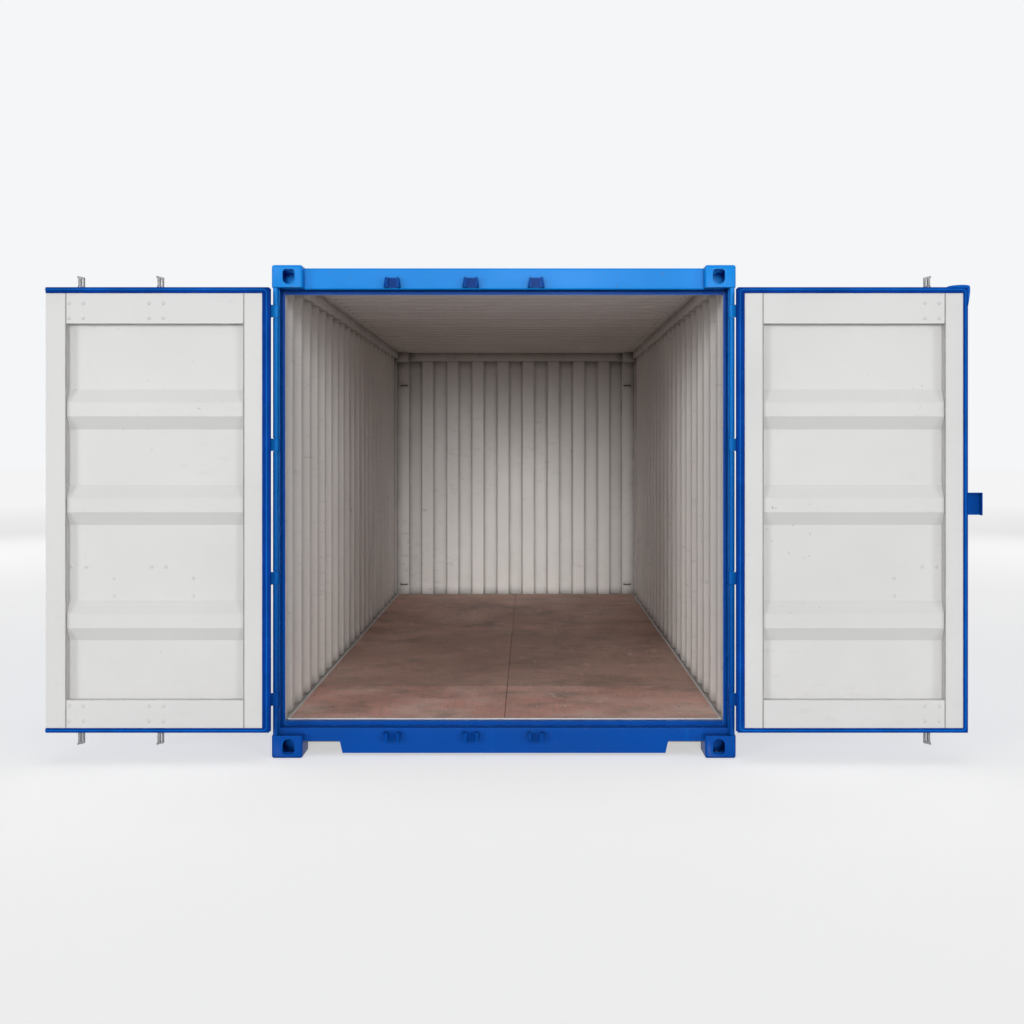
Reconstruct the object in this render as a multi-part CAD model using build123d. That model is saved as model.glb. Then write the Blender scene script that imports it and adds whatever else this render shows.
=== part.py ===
from build123d import *
import math
import os

# A 20 foot dry-freight container with both doors folded back by half a turn.
# X runs across the box with the left door at -X, Y runs from the door end to the front end, Z is up.
# Sizes are millimetres. The origin is on the ground, under the middle of the box with its doors open.

# Overall size of the box
length = 6058.0
width = 2438.0
height = 2591.0

# Corner castings
casting_length = 178.0
casting_width = 162.0
casting_height = 118.0
casting_edge_radius = 13.0
casting_slot_wall = 28.5
casting_outer_wall = 16.0
casting_inner_wall = 10.0
slot_length = 124.5
slot_width = 63.5
slot_from_end = 102.5
slot_from_side = 89.5
end_hole_width = 63.5
end_hole_corner = 18.0
side_hole_width = 51.0
wall_hole_height = 79.5
wall_hole_centre = 62.0

# Frame members: insets are measured from the castings' outer faces
frame_inset = 5.0
post_face = 44.0
post_bar = 12.0
post_plate = 6.0
nose_depth = 6.0
nose_width = 26.0
nose_radius = 10.0
rebate_inset = 35.0
lip_width = 16.0
header_drop = 10.0
header_height = 113.0
header_lip = 22.0
header_edge_radius = 9.0
rail_plate = 4.0
sill_bottom = 15.0
sill_top = 148.0
sill_edge_radius = 3.0
sill_notch_width = 202.0
sill_notch_top = 79.0
sill_notch_slant = 14.0
sill_notch_radius = 15.0
threshold_width = 46.0
floor_ledge_width = 70.0
top_rail_size = 60.0
top_rail_wall = 3.0
front_rail_height = 80.0
front_post_plate = 6.0
bottom_rail_height = 158.0
bottom_rail_wall = 4.5
bottom_rail_top_flange = 48.0
bottom_rail_low_flange = 30.0

# Sheets: each profile is outer flat, slope, inner flat, slope
sheet = 2.0
side_outer_flat = 72.0
side_inner_flat = 70.0
side_slope = 68.0
side_depth = 36.0
side_inset = 6.0
front_flat = 107.0
front_slope = 18.0
front_depth = 46.0
roof_drop = 26.0
roof_rib_rise = 20.0
roof_rib_flat = 91.0
roof_rib_slope = 13.5
roof_rib_margin = 110.0
roof_lap = 36.0

# Floor and what carries it
floor_top = 172.0
floor_board = 28.0
floor_edge_gap = 1.0
cross_member_height = 122.0
cross_member_wall = 4.0
cross_member_top_flange = 45.0
cross_member_low_flange = 40.0
cross_member_pitch = 345.0
cross_member_end_gap = 40.0
pocket_spacing = 2050.0
pocket_width = 360.0
pocket_plate = 3.0
pocket_strap_length = 200.0
pocket_strap_thickness = 6.0

# Doors, described closed: depths are measured from the door-end face of the castings
leaf_depth = 58.0
leaf_thickness = 50.0
door_clearance = 5.0
left_leaf_edge = -20.0
meeting_gap = 6.0
meeting_lip = 13.0
gasket_thickness = 6.0
gasket_lip = 10.0
gasket_lip_depth = 28.0
gasket_band_hinge = 36.0
gasket_band_top = 31.0
gasket_band_bottom = 24.0
gasket_band_meeting = 24.0
hinge_stile_width = 122.0
free_stile_width = 104.0
stile_wall = 3.2
door_top_rail_height = 178.0
door_bottom_rail_height = 158.0
door_rail_wall = 3.0
low_ridge_rise = 566.0
top_ridge_drop = 623.0
middle_ridge_shift = 52.0
panel_ridge_flat = 72.0
panel_ridge_slope = 68.0
panel_ridge_depth = 36.0

# Hinges
lowest_hinge = 311.0
hinge_step = 635.0
top_hinge_drop = 244.0
pin_inset = 22.0
pin_depth = 15.0
pin_radius = 8.0
pin_clearance = 0.3
lug_height = 24.0
blade_height = 66.0
blade_gap = 1.5
barrel_radius = 13.0
blade_arm_width = 13.0
blade_throw = 38.0
blade_strap_length = 74.0
blade_strap_thickness = 10.0

# Lock gear
left_rod_places = {"outer": -590.0, "inner": -175.0}
right_rod_place = 170.0
rod_radius = 17.0
rod_wall = 3.5
rod_gap = 5.0
rod_clearance = 0.4
rod_end_gap = 10.0
guide_end_height = 108.0
guide_mid_height = 40.0
guide_width = 104.0
guide_base = 6.0
guide_strap = 6.0
guide_top_drop = 111.0
guide_handle_rise = 105.0
guide_bottom_rise = 90.0
handle_place = 904.0
handle_hub_radius = 21.0
handle_hub_height = 40.0
handle_reach = 290.0
handle_thickness = 12.0
handle_height = 30.0
handle_step = 10.0
retainer_offset = 181.0
retainer_width = 60.0
retainer_height = 124.0
retainer_base = 6.0
retainer_lug = 12.0
retainer_reach = 42.0
retainer_gap = 3.0
cam_neck_height = 14.0
cam_thickness = 18.0
cam_reach = 22.0
cam_heel = 14.0
cam_leg = 9.0
cam_head = 10.0
cam_fall = 9.0
cam_overrun = 2.0
keeper_height = 52.0
header_keeper_rise = 35.0
sill_keeper_drop = 46.0
keeper_gap = 27.0
keeper_jaw = 17.0
keeper_taper = 9.0
keeper_radius = 12.0
keeper_base = 5.0
keeper_reach = 44.0
keeper_hook_width = 6.0
keeper_hook_thickness = 7.0

# Lock box on the right door
lock_box_place = 1336.0
lock_box_height = 119.0
lock_box_lap = 91.0
lock_box_width = 172.0
lock_box_reach = 46.0
lock_box_wall = 4.0
lock_box_foot = 60.0
lock_box_radius = 8.0

# Places that follow from the sizes above
half_width = width / 2
leaf_inner = leaf_depth + leaf_thickness
gasket_face = leaf_inner + gasket_thickness
lip_depth = gasket_face + door_clearance
lip_back = lip_depth + post_plate
lip_inset = rebate_inset + lip_width
header_top = height - header_drop
header_bottom = header_top - header_height
gasket_top = header_bottom - door_clearance
gasket_bottom = sill_top + door_clearance
leaf_top = gasket_top - gasket_lip
leaf_bottom = gasket_bottom + gasket_lip
hinge_edge = half_width - rebate_inset - door_clearance - gasket_lip
pin_x = half_width - pin_inset
doors_proud = gasket_face - 2 * pin_depth
door_face = -(length - doors_proud) / 2
castings_gap = half_width - casting_width
roof_base = height - roof_drop - sheet
floor_bottom = floor_top - floor_board
front_wall_inner = length - frame_inset - front_depth - sheet
rod_depth = leaf_depth - rod_gap - rod_radius
low_ridge = leaf_bottom + low_ridge_rise
top_ridge = leaf_top - top_ridge_drop
panel_ridge_heights = [low_ridge, (low_ridge + top_ridge) / 2 + middle_ridge_shift, top_ridge]
second_hinge = lowest_hinge + hinge_step
top_hinge = height - top_hinge_drop
hinge_heights = [lowest_hinge, second_hinge, (second_hinge + top_hinge) / 2, top_hinge]
hinge_reach = blade_height / 2 + blade_gap + lug_height
guide_top_place = leaf_top - guide_top_drop
guide_mid_place = handle_place + guide_handle_rise
guide_bottom_place = leaf_bottom + guide_bottom_rise
header_keeper_place = header_bottom + header_keeper_rise
sill_keeper_place = sill_top - sill_keeper_drop
right_leaf_edge = left_leaf_edge + meeting_gap + meeting_lip
pocket_places = [length / 2 - pocket_spacing / 2, length / 2 + pocket_spacing / 2]
sides = {"left": -1, "right": 1}
left_reach = 2 * pin_x + left_leaf_edge
right_reach = 2 * pin_x - left_leaf_edge + lock_box_lap
centre_shift = (left_reach - right_reach) / 2


def at_x(side, inset):
    """X of a place that lies inset from the box's side plane."""
    return side * (half_width - inset)


def at_y(depth):
    """Y of a place that lies depth behind the door-end face."""
    return door_face + depth


def block(x, y, z):
    """A rectangular block between two values on each axis."""
    spans = [sorted(pair) for pair in (x, y, z)]
    sizes = [high - low for low, high in spans]
    middle = [(high + low) / 2 for low, high in spans]
    return Pos(*middle) * Box(*sizes)


def upright(points, low, high):
    """A prism on a plan outline of (x, y) points, from one height to another."""
    return extrude(Pos(0, 0, low) * make_face(Polyline(*points, close=True)), high - low, dir=(0, 0, 1))


def crosswise(points, start, end):
    """A prism along X on an outline of (depth, z) points."""
    plane = Plane(origin=(start, 0, 0), x_dir=(0, 1, 0), z_dir=(1, 0, 0))
    outline = [(at_y(depth), z) for depth, z in points]
    return extrude(plane * make_face(Polyline(*outline, close=True)), end - start, dir=(1, 0, 0))


def lengthwise(side, points, start, end):
    """A prism along Y on an outline of (inset, z) points, between two depths."""
    plane = Plane(origin=(0, at_y(start), 0), x_dir=(1, 0, 0), z_dir=(0, -1, 0))
    outline = [(at_x(side, inset), z) for inset, z in points]
    return extrude(plane * make_face(Polyline(*outline, close=True)), end - start, dir=(0, 1, 0))


def facing(face, start, end):
    """A prism along Y on a face drawn in (x, z), between two depths."""
    plane = Plane(origin=(0, at_y(start), 0), x_dir=(1, 0, 0), z_dir=(0, -1, 0))
    return extrude(plane * face, end - start, dir=(0, 1, 0))


def plan_places(side, points):
    """World (x, y) places for (inset, depth) points on one side of the box."""
    return [(at_x(side, inset), at_y(depth)) for inset, depth in points]


def pressed_sheet(line, thickness, shift):
    """Outline of a folded sheet: its line, and the same line moved by the sheet's thickness."""
    moved = [(a + shift[0] * thickness, b + shift[1] * thickness) for a, b in line]
    return line + moved[::-1]


def spread(start, end, widest_gap):
    """Evenly spaced places from start to end, no further apart than the widest gap."""
    count = max(1, math.ceil((end - start) / widest_gap))
    return [start + (end - start) * index / count for index in range(count + 1)]


def casting(side, at_door_end, at_top):
    """A hollow corner casting with a slot in its top or bottom and a hole in each outer wall."""

    def depth(from_end):
        return from_end if at_door_end else length - from_end

    def level(from_slot_face):
        return height - from_slot_face if at_top else from_slot_face

    body = block(
        (at_x(side, 0), at_x(side, casting_width)),
        (at_y(depth(0)), at_y(depth(casting_length))),
        (level(0), level(casting_height)),
    )
    slot_edges = body.faces().sort_by(Axis.Z)[-1 if at_top else 0].edges()
    upright_edges = body.edges().filter_by(Axis.Z).sort_by(Axis.Y)
    end_edges = upright_edges[:2] if at_door_end else upright_edges[2:]
    body = fillet(slot_edges + end_edges, casting_edge_radius)
    cavity = block(
        (at_x(side, casting_outer_wall), at_x(side, casting_width - casting_inner_wall)),
        (at_y(depth(casting_outer_wall)), at_y(depth(casting_length - casting_inner_wall))),
        (level(casting_slot_wall), level(casting_height - casting_inner_wall)),
    )
    slot_centre = (at_x(side, slot_from_side), at_y(depth(slot_from_end)), level(casting_slot_wall / 2))
    slot = extrude(Pos(*slot_centre) * Rot(0, 0, 90) * SlotOverall(slot_length, slot_width),
                   casting_slot_wall, dir=(0, 0, 1), both=True)
    hole_level = level(wall_hole_centre)
    end_plane = Plane(origin=(at_x(side, slot_from_side), at_y(depth(0)), hole_level),
                      x_dir=(1, 0, 0), z_dir=(0, -1, 0))
    away = -1 if at_top else 1
    shield = Pos(0, -away * end_hole_width / 4) * Rectangle(end_hole_width, wall_hole_height - end_hole_width / 2)
    shield += Pos(0, away * (wall_hole_height - end_hole_width) / 2) * Circle(end_hole_width / 2)
    shield_corners = shield.vertices().sort_by(Axis.Y)
    shield = fillet(shield_corners[-2:] if at_top else shield_corners[:2], end_hole_corner)
    end_hole = extrude(end_plane * shield, casting_outer_wall, both=True)
    side_plane = Plane(origin=(at_x(side, 0), at_y(depth(slot_from_end)), hole_level),
                       x_dir=(0, 0, 1), z_dir=(1, 0, 0))
    side_hole = extrude(side_plane * SlotOverall(wall_hole_height, side_hole_width),
                        casting_outer_wall, both=True)
    return body - cavity - slot - end_hole - side_hole


def post_nose(side, low, high):
    """A length of the round-edged bar in front of a door post; the hinge lugs have its section."""
    bar = block(
        (at_x(side, frame_inset), at_x(side, frame_inset + nose_width)),
        (at_y(nose_depth), at_y(post_face)),
        (low, high),
    )
    return fillet(bar.edges().filter_by(Axis.Z).sort_by(Axis.Y)[:2], nose_radius)


def rear_post(side):
    """Door post: a heavy bar outside, a plate inside, the lip that stops the door, and a cut nose."""
    low, high = casting_height, height - casting_height
    outline = [
        (frame_inset, post_face), (rebate_inset, post_face), (rebate_inset, lip_depth),
        (lip_inset, lip_depth), (lip_inset, casting_length), (frame_inset, casting_length),
    ]
    core_inset = frame_inset + post_bar
    front_core = [
        (core_inset, post_face + post_bar), (rebate_inset - post_plate, post_face + post_bar),
        (rebate_inset - post_plate, lip_depth), (core_inset, lip_depth),
    ]
    back_core = [
        (core_inset, lip_back), (lip_inset - post_plate, lip_back),
        (lip_inset - post_plate, casting_length - post_plate), (core_inset, casting_length - post_plate),
    ]
    post = upright(plan_places(side, outline), low, high)
    for core in (front_core, back_core):
        post -= upright(plan_places(side, core), low, high)
    starts = [low] + [place + hinge_reach for place in hinge_heights]
    ends = [place - hinge_reach for place in hinge_heights] + [high]
    for start, end in zip(starts, ends):
        post += post_nose(side, start, end)
    return post


def front_post(side):
    """Front corner post: a pressed closed section with an L-shaped plan."""
    low, high = casting_height, height - casting_height
    side_leg = side_inset + side_depth + sheet

    def ring(inward):
        return [
            (frame_inset + inward, length - frame_inset - inward),
            (casting_width - inward, length - frame_inset - inward),
            (casting_width - inward, front_wall_inner + inward),
            (side_leg - inward, front_wall_inner + inward),
            (side_leg - inward, length - casting_length + inward),
            (frame_inset + inward, length - casting_length + inward),
        ]

    outer = upright(plan_places(side, ring(0)), low, high)
    return outer - upright(plan_places(side, ring(front_post_plate)), low, high)


def door_header():
    """Box beam over the doorway, with the lip that the door tops close against."""
    beam_depths = (at_y(leaf_depth), at_y(casting_length))
    beam = block((-castings_gap, castings_gap), beam_depths, (header_bottom, header_top))
    beam = fillet(beam.edges().filter_by(Axis.X).sort_by(Axis.Y)[:2], header_edge_radius)
    hollow = block(
        (-castings_gap, castings_gap),
        (at_y(leaf_depth + rail_plate), at_y(casting_length - rail_plate)),
        (header_bottom + rail_plate, header_top - rail_plate),
    )
    lip_reach = half_width - lip_inset
    lip_top = height - casting_height
    lip = block((-lip_reach, lip_reach), (at_y(lip_depth), at_y(lip_back)), (header_bottom - header_lip, lip_top))
    return beam - hollow + lip


def sill_notch(side, plate):
    """The open notch in the sill beside a casting, or with a plate's thickness the lining round it."""
    outer = side * castings_gap
    low_corner = outer - side * (sill_notch_width + plate)
    high_corner = low_corner + side * sill_notch_slant
    top = sill_notch_top + plate
    outline = make_face(Polyline((outer, sill_bottom), (outer, top), (high_corner, top), (low_corner, sill_bottom),
                                 close=True))
    inner_corner = outline.vertices().sort_by_distance((high_corner, top, 0))[0]
    return facing(fillet(inner_corner, sill_notch_radius + plate), leaf_depth, lip_back)


def door_sill():
    """Box sill under the doorway, notched beside the castings, with its lip and threshold plate."""
    rebate_reach = half_width - rebate_inset
    lip_reach = half_width - lip_inset
    beam = block((-castings_gap, castings_gap), (at_y(leaf_depth), at_y(lip_back)), (sill_bottom, sill_top))
    hollow = block(
        (-castings_gap, castings_gap),
        (at_y(leaf_depth + rail_plate), at_y(lip_back - rail_plate)),
        (sill_bottom + rail_plate, sill_top - rail_plate),
    )
    sill = beam - hollow
    for side in sides.values():
        sill = sill + sill_notch(side, rail_plate) - sill_notch(side, 0)
    top_plate = block((-rebate_reach, rebate_reach), (at_y(leaf_depth), at_y(lip_depth)),
                      (sill_top - rail_plate, sill_top))
    face_plate = block((-rebate_reach, rebate_reach), (at_y(leaf_depth), at_y(leaf_depth + rail_plate)),
                       (casting_height, sill_top))
    lip = block((-lip_reach, lip_reach), (at_y(lip_depth), at_y(lip_back)), (casting_height, floor_top))
    threshold = block((-lip_reach, lip_reach), (at_y(lip_depth), at_y(lip_depth + threshold_width)),
                      (floor_top - rail_plate, floor_top))
    ledge = block((-castings_gap, castings_gap), (at_y(lip_depth), at_y(lip_back + floor_ledge_width)),
                  (floor_bottom - rail_plate, floor_bottom))
    sill = sill + top_plate + face_plate + lip + threshold + ledge
    front_edge = sill.edges().filter_by(Axis.X).sort_by_distance((0, at_y(leaf_depth), sill_top))[0]
    return fillet(front_edge, sill_edge_radius)


def top_side_rail(side):
    """Square tube along the top of a side wall."""
    top = roof_base
    outer = [
        (frame_inset, top), (frame_inset + top_rail_size, top),
        (frame_inset + top_rail_size, top - top_rail_size), (frame_inset, top - top_rail_size),
    ]
    near = frame_inset + top_rail_wall
    far = frame_inset + top_rail_size - top_rail_wall
    inner = [
        (near, top - top_rail_wall), (far, top - top_rail_wall),
        (far, top - top_rail_size + top_rail_wall), (near, top - top_rail_size + top_rail_wall),
    ]
    start, end = casting_length, length - casting_length
    return lengthwise(side, outer, start, end) - lengthwise(side, inner, start, end)


def bottom_side_rail(side):
    """Channel along the bottom of a side wall, with a window at each forklift pocket."""
    low = floor_top - bottom_rail_height
    web = frame_inset + bottom_rail_wall
    outline = [
        (frame_inset, low), (frame_inset + bottom_rail_low_flange, low),
        (frame_inset + bottom_rail_low_flange, low + bottom_rail_wall), (web, low + bottom_rail_wall),
        (web, floor_top - bottom_rail_wall), (frame_inset + bottom_rail_top_flange, floor_top - bottom_rail_wall),
        (frame_inset + bottom_rail_top_flange, floor_top), (frame_inset, floor_top),
    ]
    rail = lengthwise(side, outline, casting_length, length - casting_length)
    for place in pocket_places:
        rail -= block(
            (at_x(side, 0), at_x(side, web)),
            (at_y(place - pocket_width / 2), at_y(place + pocket_width / 2)),
            (floor_bottom - cross_member_height, floor_bottom - pocket_plate),
        )
    return rail


def front_top_rail():
    """Rectangular tube across the top of the front wall."""
    ends = (-castings_gap, castings_gap)
    far = length - frame_inset
    near = far - top_rail_size
    low = roof_base - front_rail_height
    wall = top_rail_wall
    tube = block(ends, (at_y(near), at_y(far)), (low, roof_base))
    return tube - block(ends, (at_y(near + wall), at_y(far - wall)), (low + wall, roof_base - wall))


def front_bottom_rail():
    """Channel across the bottom of the front wall, open towards the floor."""
    ends = (-castings_gap, castings_gap)
    far = length - frame_inset
    low = floor_top - bottom_rail_height
    bar = block(ends, (at_y(front_wall_inner), at_y(far)), (low, floor_top))
    return bar - block(ends, (at_y(front_wall_inner), at_y(far - rail_plate)),
                       (low + rail_plate, floor_top - rail_plate))


def side_wall(side):
    """Corrugated side sheet, from the bottom rail to the top rail."""
    start, end = casting_length, length - casting_length
    pitch = side_outer_flat + side_inner_flat + 2 * side_slope
    count = int((end - start - side_outer_flat) // pitch)
    margin = (end - start - side_outer_flat - count * pitch) / 2
    inner_line = side_inset + side_depth
    line = [(side_inset, start)]
    rise = start + margin + side_outer_flat
    for index in range(count):
        foot = rise + index * pitch
        line += [
            (side_inset, foot), (inner_line, foot + side_slope),
            (inner_line, foot + side_slope + side_inner_flat),
            (side_inset, foot + 2 * side_slope + side_inner_flat),
        ]
    line.append((side_inset, end))
    outline = pressed_sheet(line, sheet, (1, 0))
    return upright(plan_places(side, outline), floor_top, roof_base - top_rail_size)


def front_wall():
    """Corrugated front sheet between the front posts; it starts and ends on an outer flat."""
    outer = length - frame_inset - sheet
    span = 2 * castings_gap
    half_pitch = front_flat + front_slope
    count = int((span - front_flat) // (2 * half_pitch))
    margin = (span - front_flat - 2 * count * half_pitch) / 2
    line = [(-castings_gap, outer)]
    for index in range(count):
        foot = -castings_gap + margin + front_flat + 2 * index * half_pitch
        line += [
            (foot, outer), (foot + front_slope, outer - front_depth),
            (foot + front_slope + front_flat, outer - front_depth),
            (foot + 2 * front_slope + front_flat, outer),
        ]
    line.append((castings_gap, outer))
    outline = [(x, at_y(depth)) for x, depth in pressed_sheet(line, sheet, (0, 1))]
    return upright(outline, floor_top, roof_base - front_rail_height)


def roof():
    """Die-pressed roof sheet with raised ribs across it, cut out round the front castings."""
    reach = half_width - roof_lap
    start, end = casting_length, length - frame_inset
    plate = block((-reach, reach), (at_y(start), at_y(end)), (roof_base, roof_base + sheet))
    for side in sides.values():
        plate -= block((side * castings_gap, side * half_width), (at_y(length - casting_length), at_y(length)),
                       (roof_base, roof_base + sheet))
    rib_width = roof_rib_flat + 2 * roof_rib_slope
    pitch = rib_width + roof_rib_flat
    first, last = start, length - casting_length
    count = int((last - first) // pitch)
    margin = (last - first - count * pitch + roof_rib_flat) / 2
    rib_length = 2 * (half_width - roof_rib_margin)
    taper = math.degrees(math.atan2(roof_rib_slope, roof_rib_rise))
    ribs = []
    for index in range(count):
        middle = first + margin + rib_width / 2 + index * pitch
        foot = Pos(0, at_y(middle), roof_base + sheet) * Rectangle(rib_length, rib_width)
        ribs.append(extrude(foot, roof_rib_rise, dir=(0, 0, 1), taper=taper))
    hollows = [Pos(0, 0, -sheet) * rib for rib in ribs]
    return plate + ribs - hollows


def floor():
    """Plywood floor between the bottom rails, from the threshold to the front wall."""
    reach = half_width - frame_inset - bottom_rail_top_flange - floor_edge_gap
    start = lip_depth + threshold_width
    return block((-reach, reach), (at_y(start), at_y(front_wall_inner)), (floor_bottom, floor_top))


def cross_member(place, facing):
    """One channel under the floor; facing says which way its flanges point along the box."""
    low = floor_bottom - cross_member_height
    wall = cross_member_wall
    reach = half_width - frame_inset - bottom_rail_wall
    outline = [
        (place, low), (place + facing * cross_member_low_flange, low),
        (place + facing * cross_member_low_flange, low + wall), (place + facing * wall, low + wall),
        (place + facing * wall, floor_bottom - wall),
        (place + facing * cross_member_top_flange, floor_bottom - wall),
        (place + facing * cross_member_top_flange, floor_bottom), (place, floor_bottom),
    ]
    return crosswise(outline, -reach, reach)


def cross_members():
    """The channels that carry the floor, in three bays between and beside the forklift pockets."""
    half = pocket_width / 2
    bays = [
        (casting_length + floor_ledge_width + cross_member_end_gap, pocket_places[0] - half),
        (pocket_places[0] + half, pocket_places[1] - half),
        (pocket_places[1] + half, length - casting_length - cross_member_end_gap),
    ]
    members = []
    for start, end in bays:
        places = spread(start, end, cross_member_pitch)
        members += [cross_member(place, 1) for place in places[:-1]]
        members.append(cross_member(places[-1], -1))
    return members


def forklift_pockets():
    """Top plate and two bottom straps for each forklift pocket."""
    reach = half_width - frame_inset - bottom_rail_wall
    low = floor_bottom - cross_member_height
    strap_start = frame_inset + bottom_rail_low_flange
    plates = []
    for place in pocket_places:
        near, far = place - pocket_width / 2, place + pocket_width / 2
        plates.append(block((-reach, reach), (at_y(near), at_y(far)), (floor_bottom - pocket_plate, floor_bottom)))
        for side in sides.values():
            plates.append(block(
                (at_x(side, strap_start), at_x(side, strap_start + pocket_strap_length)),
                (at_y(near - cross_member_low_flange), at_y(far + cross_member_low_flange)),
                (low - pocket_strap_thickness, low),
            ))
    return plates


def hinge_place(side, along, out):
    """World (x, y) of a place given from the hinge pin, along the closed door and into the box."""
    return (at_x(side, pin_inset + along), at_y(pin_depth + out))


def pin_cylinder(side, radius, low, high):
    """An upright cylinder on the hinge line."""
    x, y = hinge_place(side, 0, 0)
    return extrude(Pos(x, y, low) * Circle(radius), high - low, dir=(0, 0, 1))


def hinge_lugs(side):
    """The post's half of each hinge: two lugs with the pin through them."""
    hinges = []
    inner = blade_height / 2 + blade_gap
    for place in hinge_heights:
        hinge = pin_cylinder(side, pin_radius, place - inner, place + inner)
        hinge += post_nose(side, place - hinge_reach, place - inner)
        hinge += post_nose(side, place + inner, place + hinge_reach)
        hinges.append(hinge)
    return hinges


def hinge_blades(side):
    """The door's half of each hinge: a barrel, a cranked arm and a strap on the hinge stile."""
    strap_out = leaf_depth - pin_depth - blade_strap_thickness
    target = (blade_throw, strap_out + blade_strap_thickness / 2)
    reach = math.hypot(*target)
    across = (-target[1] / reach * blade_arm_width / 2, target[0] / reach * blade_arm_width / 2)
    arm = [
        (across[0], across[1]), (target[0] + across[0], target[1] + across[1]),
        (target[0] - across[0], target[1] - across[1]), (-across[0], -across[1]),
    ]
    strap_start = pin_x - hinge_edge
    strap_end = strap_start + blade_strap_length
    blades = []
    for place in hinge_heights:
        low, high = place - blade_height / 2, place + blade_height / 2
        blade = pin_cylinder(side, barrel_radius, low, high)
        blade += upright([hinge_place(side, along, out) for along, out in arm], low, high)
        blade += block(
            (at_x(side, pin_inset + strap_start), at_x(side, pin_inset + strap_end)),
            (at_y(leaf_depth - blade_strap_thickness), at_y(leaf_depth)),
            (low, high),
        )
        blades.append(blade - pin_cylinder(side, pin_radius + pin_clearance, low, high))
    return blades


def leaf_edges(side):
    """X of a closed leaf's free edge and of its hinge edge."""
    free = left_leaf_edge if side < 0 else right_leaf_edge
    return free, side * hinge_edge


def door_stiles(side):
    """The two upright tubes of a leaf."""
    free, hinge = leaf_edges(side)
    tubes = []
    for start, end in ((hinge, hinge - side * hinge_stile_width), (free, free + side * free_stile_width)):
        low, high = sorted((start, end))
        tube = block((low, high), (at_y(leaf_depth), at_y(leaf_inner)), (leaf_bottom, leaf_top))
        tubes.append(tube - block(
            (low + stile_wall, high - stile_wall),
            (at_y(leaf_depth + stile_wall), at_y(leaf_inner - stile_wall)),
            (leaf_bottom, leaf_top),
        ))
    return tubes


def panel_span(side):
    """X of the two stile faces that a leaf's panel and rails fit between."""
    free, hinge = leaf_edges(side)
    return sorted((free + side * free_stile_width, hinge - side * hinge_stile_width))


def door_rails(side):
    """The top and bottom channels of a leaf, open towards its panel."""
    span = panel_span(side)
    heights = ((leaf_top - door_top_rail_height, leaf_top), (leaf_bottom, leaf_bottom + door_bottom_rail_height))
    rails = []
    for low, high in heights:
        rail = block(span, (at_y(leaf_depth + sheet), at_y(leaf_inner)), (low, high))
        rails.append(rail - block(
            span,
            (at_y(leaf_depth + sheet), at_y(leaf_inner - door_rail_wall)),
            (low + door_rail_wall, high - door_rail_wall),
        ))
    return rails


def door_panel(side):
    """A leaf's sheet, with ridges pressed towards the inside."""
    span = panel_span(side)
    crest = leaf_depth + panel_ridge_depth
    line = [(leaf_depth, leaf_bottom)]
    for place in panel_ridge_heights:
        flat = panel_ridge_flat / 2
        line += [
            (leaf_depth, place - flat - panel_ridge_slope), (crest, place - flat),
            (crest, place + flat), (leaf_depth, place + flat + panel_ridge_slope),
        ]
    line.append((leaf_depth, leaf_top))
    return crosswise(pressed_sheet(line, sheet, (1, 0)), span[0], span[1])


def door_gasket(side):
    """Rubber seal round a leaf: a band on its inner face and a lip round its edges."""
    free, hinge = leaf_edges(side)
    hinge_lip = hinge + side * gasket_lip
    if side < 0:
        free_lip = free
        band_free = free
    else:
        free_lip = free - side * meeting_lip
        band_free = free_lip + side * gasket_band_meeting
    band = block((free_lip, hinge_lip), (at_y(leaf_inner), at_y(gasket_face)), (gasket_bottom, gasket_top))
    band -= block(
        (band_free, hinge_lip - side * gasket_band_hinge),
        (at_y(leaf_inner), at_y(gasket_face)),
        (gasket_bottom + gasket_band_bottom, gasket_top - gasket_band_top),
    )
    lip_depths = (at_y(leaf_inner - gasket_lip_depth), at_y(leaf_inner))
    lip = block((free_lip, hinge_lip), lip_depths, (gasket_bottom, gasket_top))
    lip -= block((free, hinge), lip_depths, (leaf_bottom, leaf_top))
    return band + lip


def rod_guides(places):
    """Bearing brackets that hold the lock rods to a leaf: base plate and strap in one forging."""
    guides = []
    outer_radius = rod_radius + rod_clearance + guide_strap
    for x in places:
        for place, tall in (
            (guide_top_place, guide_end_height),
            (guide_mid_place, guide_mid_height),
            (guide_bottom_place, guide_end_height),
        ):
            low, high = place - tall / 2, place + tall / 2
            base = block((x - guide_width / 2, x + guide_width / 2),
                         (at_y(leaf_depth - guide_base), at_y(leaf_depth)), (low, high))
            hump = extrude(Pos(x, at_y(rod_depth), low) * Circle(outer_radius), high - low, dir=(0, 0, 1))
            hump -= block((x - outer_radius, x + outer_radius),
                          (at_y(leaf_depth), at_y(leaf_depth + outer_radius)), (low, high))
            bore = extrude(Pos(x, at_y(rod_depth), low) * Circle(rod_radius + rod_clearance),
                           high - low, dir=(0, 0, 1))
            guides.append(base + hump - bore)
    return guides


def handle_retainers(side, places):
    """Plates on a leaf with a shelf below and a catch above each handle."""
    retainers = []
    for x in places:
        middle = x + side * retainer_offset
        span = (middle - retainer_width / 2, middle + retainer_width / 2)
        retainer = block(span, (at_y(leaf_depth - retainer_base), at_y(leaf_depth)),
                         (handle_place - retainer_height / 2, handle_place + retainer_height / 2))
        for turn in (-1, 1):
            near = handle_place + turn * (handle_height / 2 + retainer_gap)
            retainer += block(span, (at_y(leaf_depth - retainer_reach), at_y(leaf_depth)),
                              (near, near + turn * retainer_lug))
        retainers.append(retainer)
    return retainers


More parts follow.
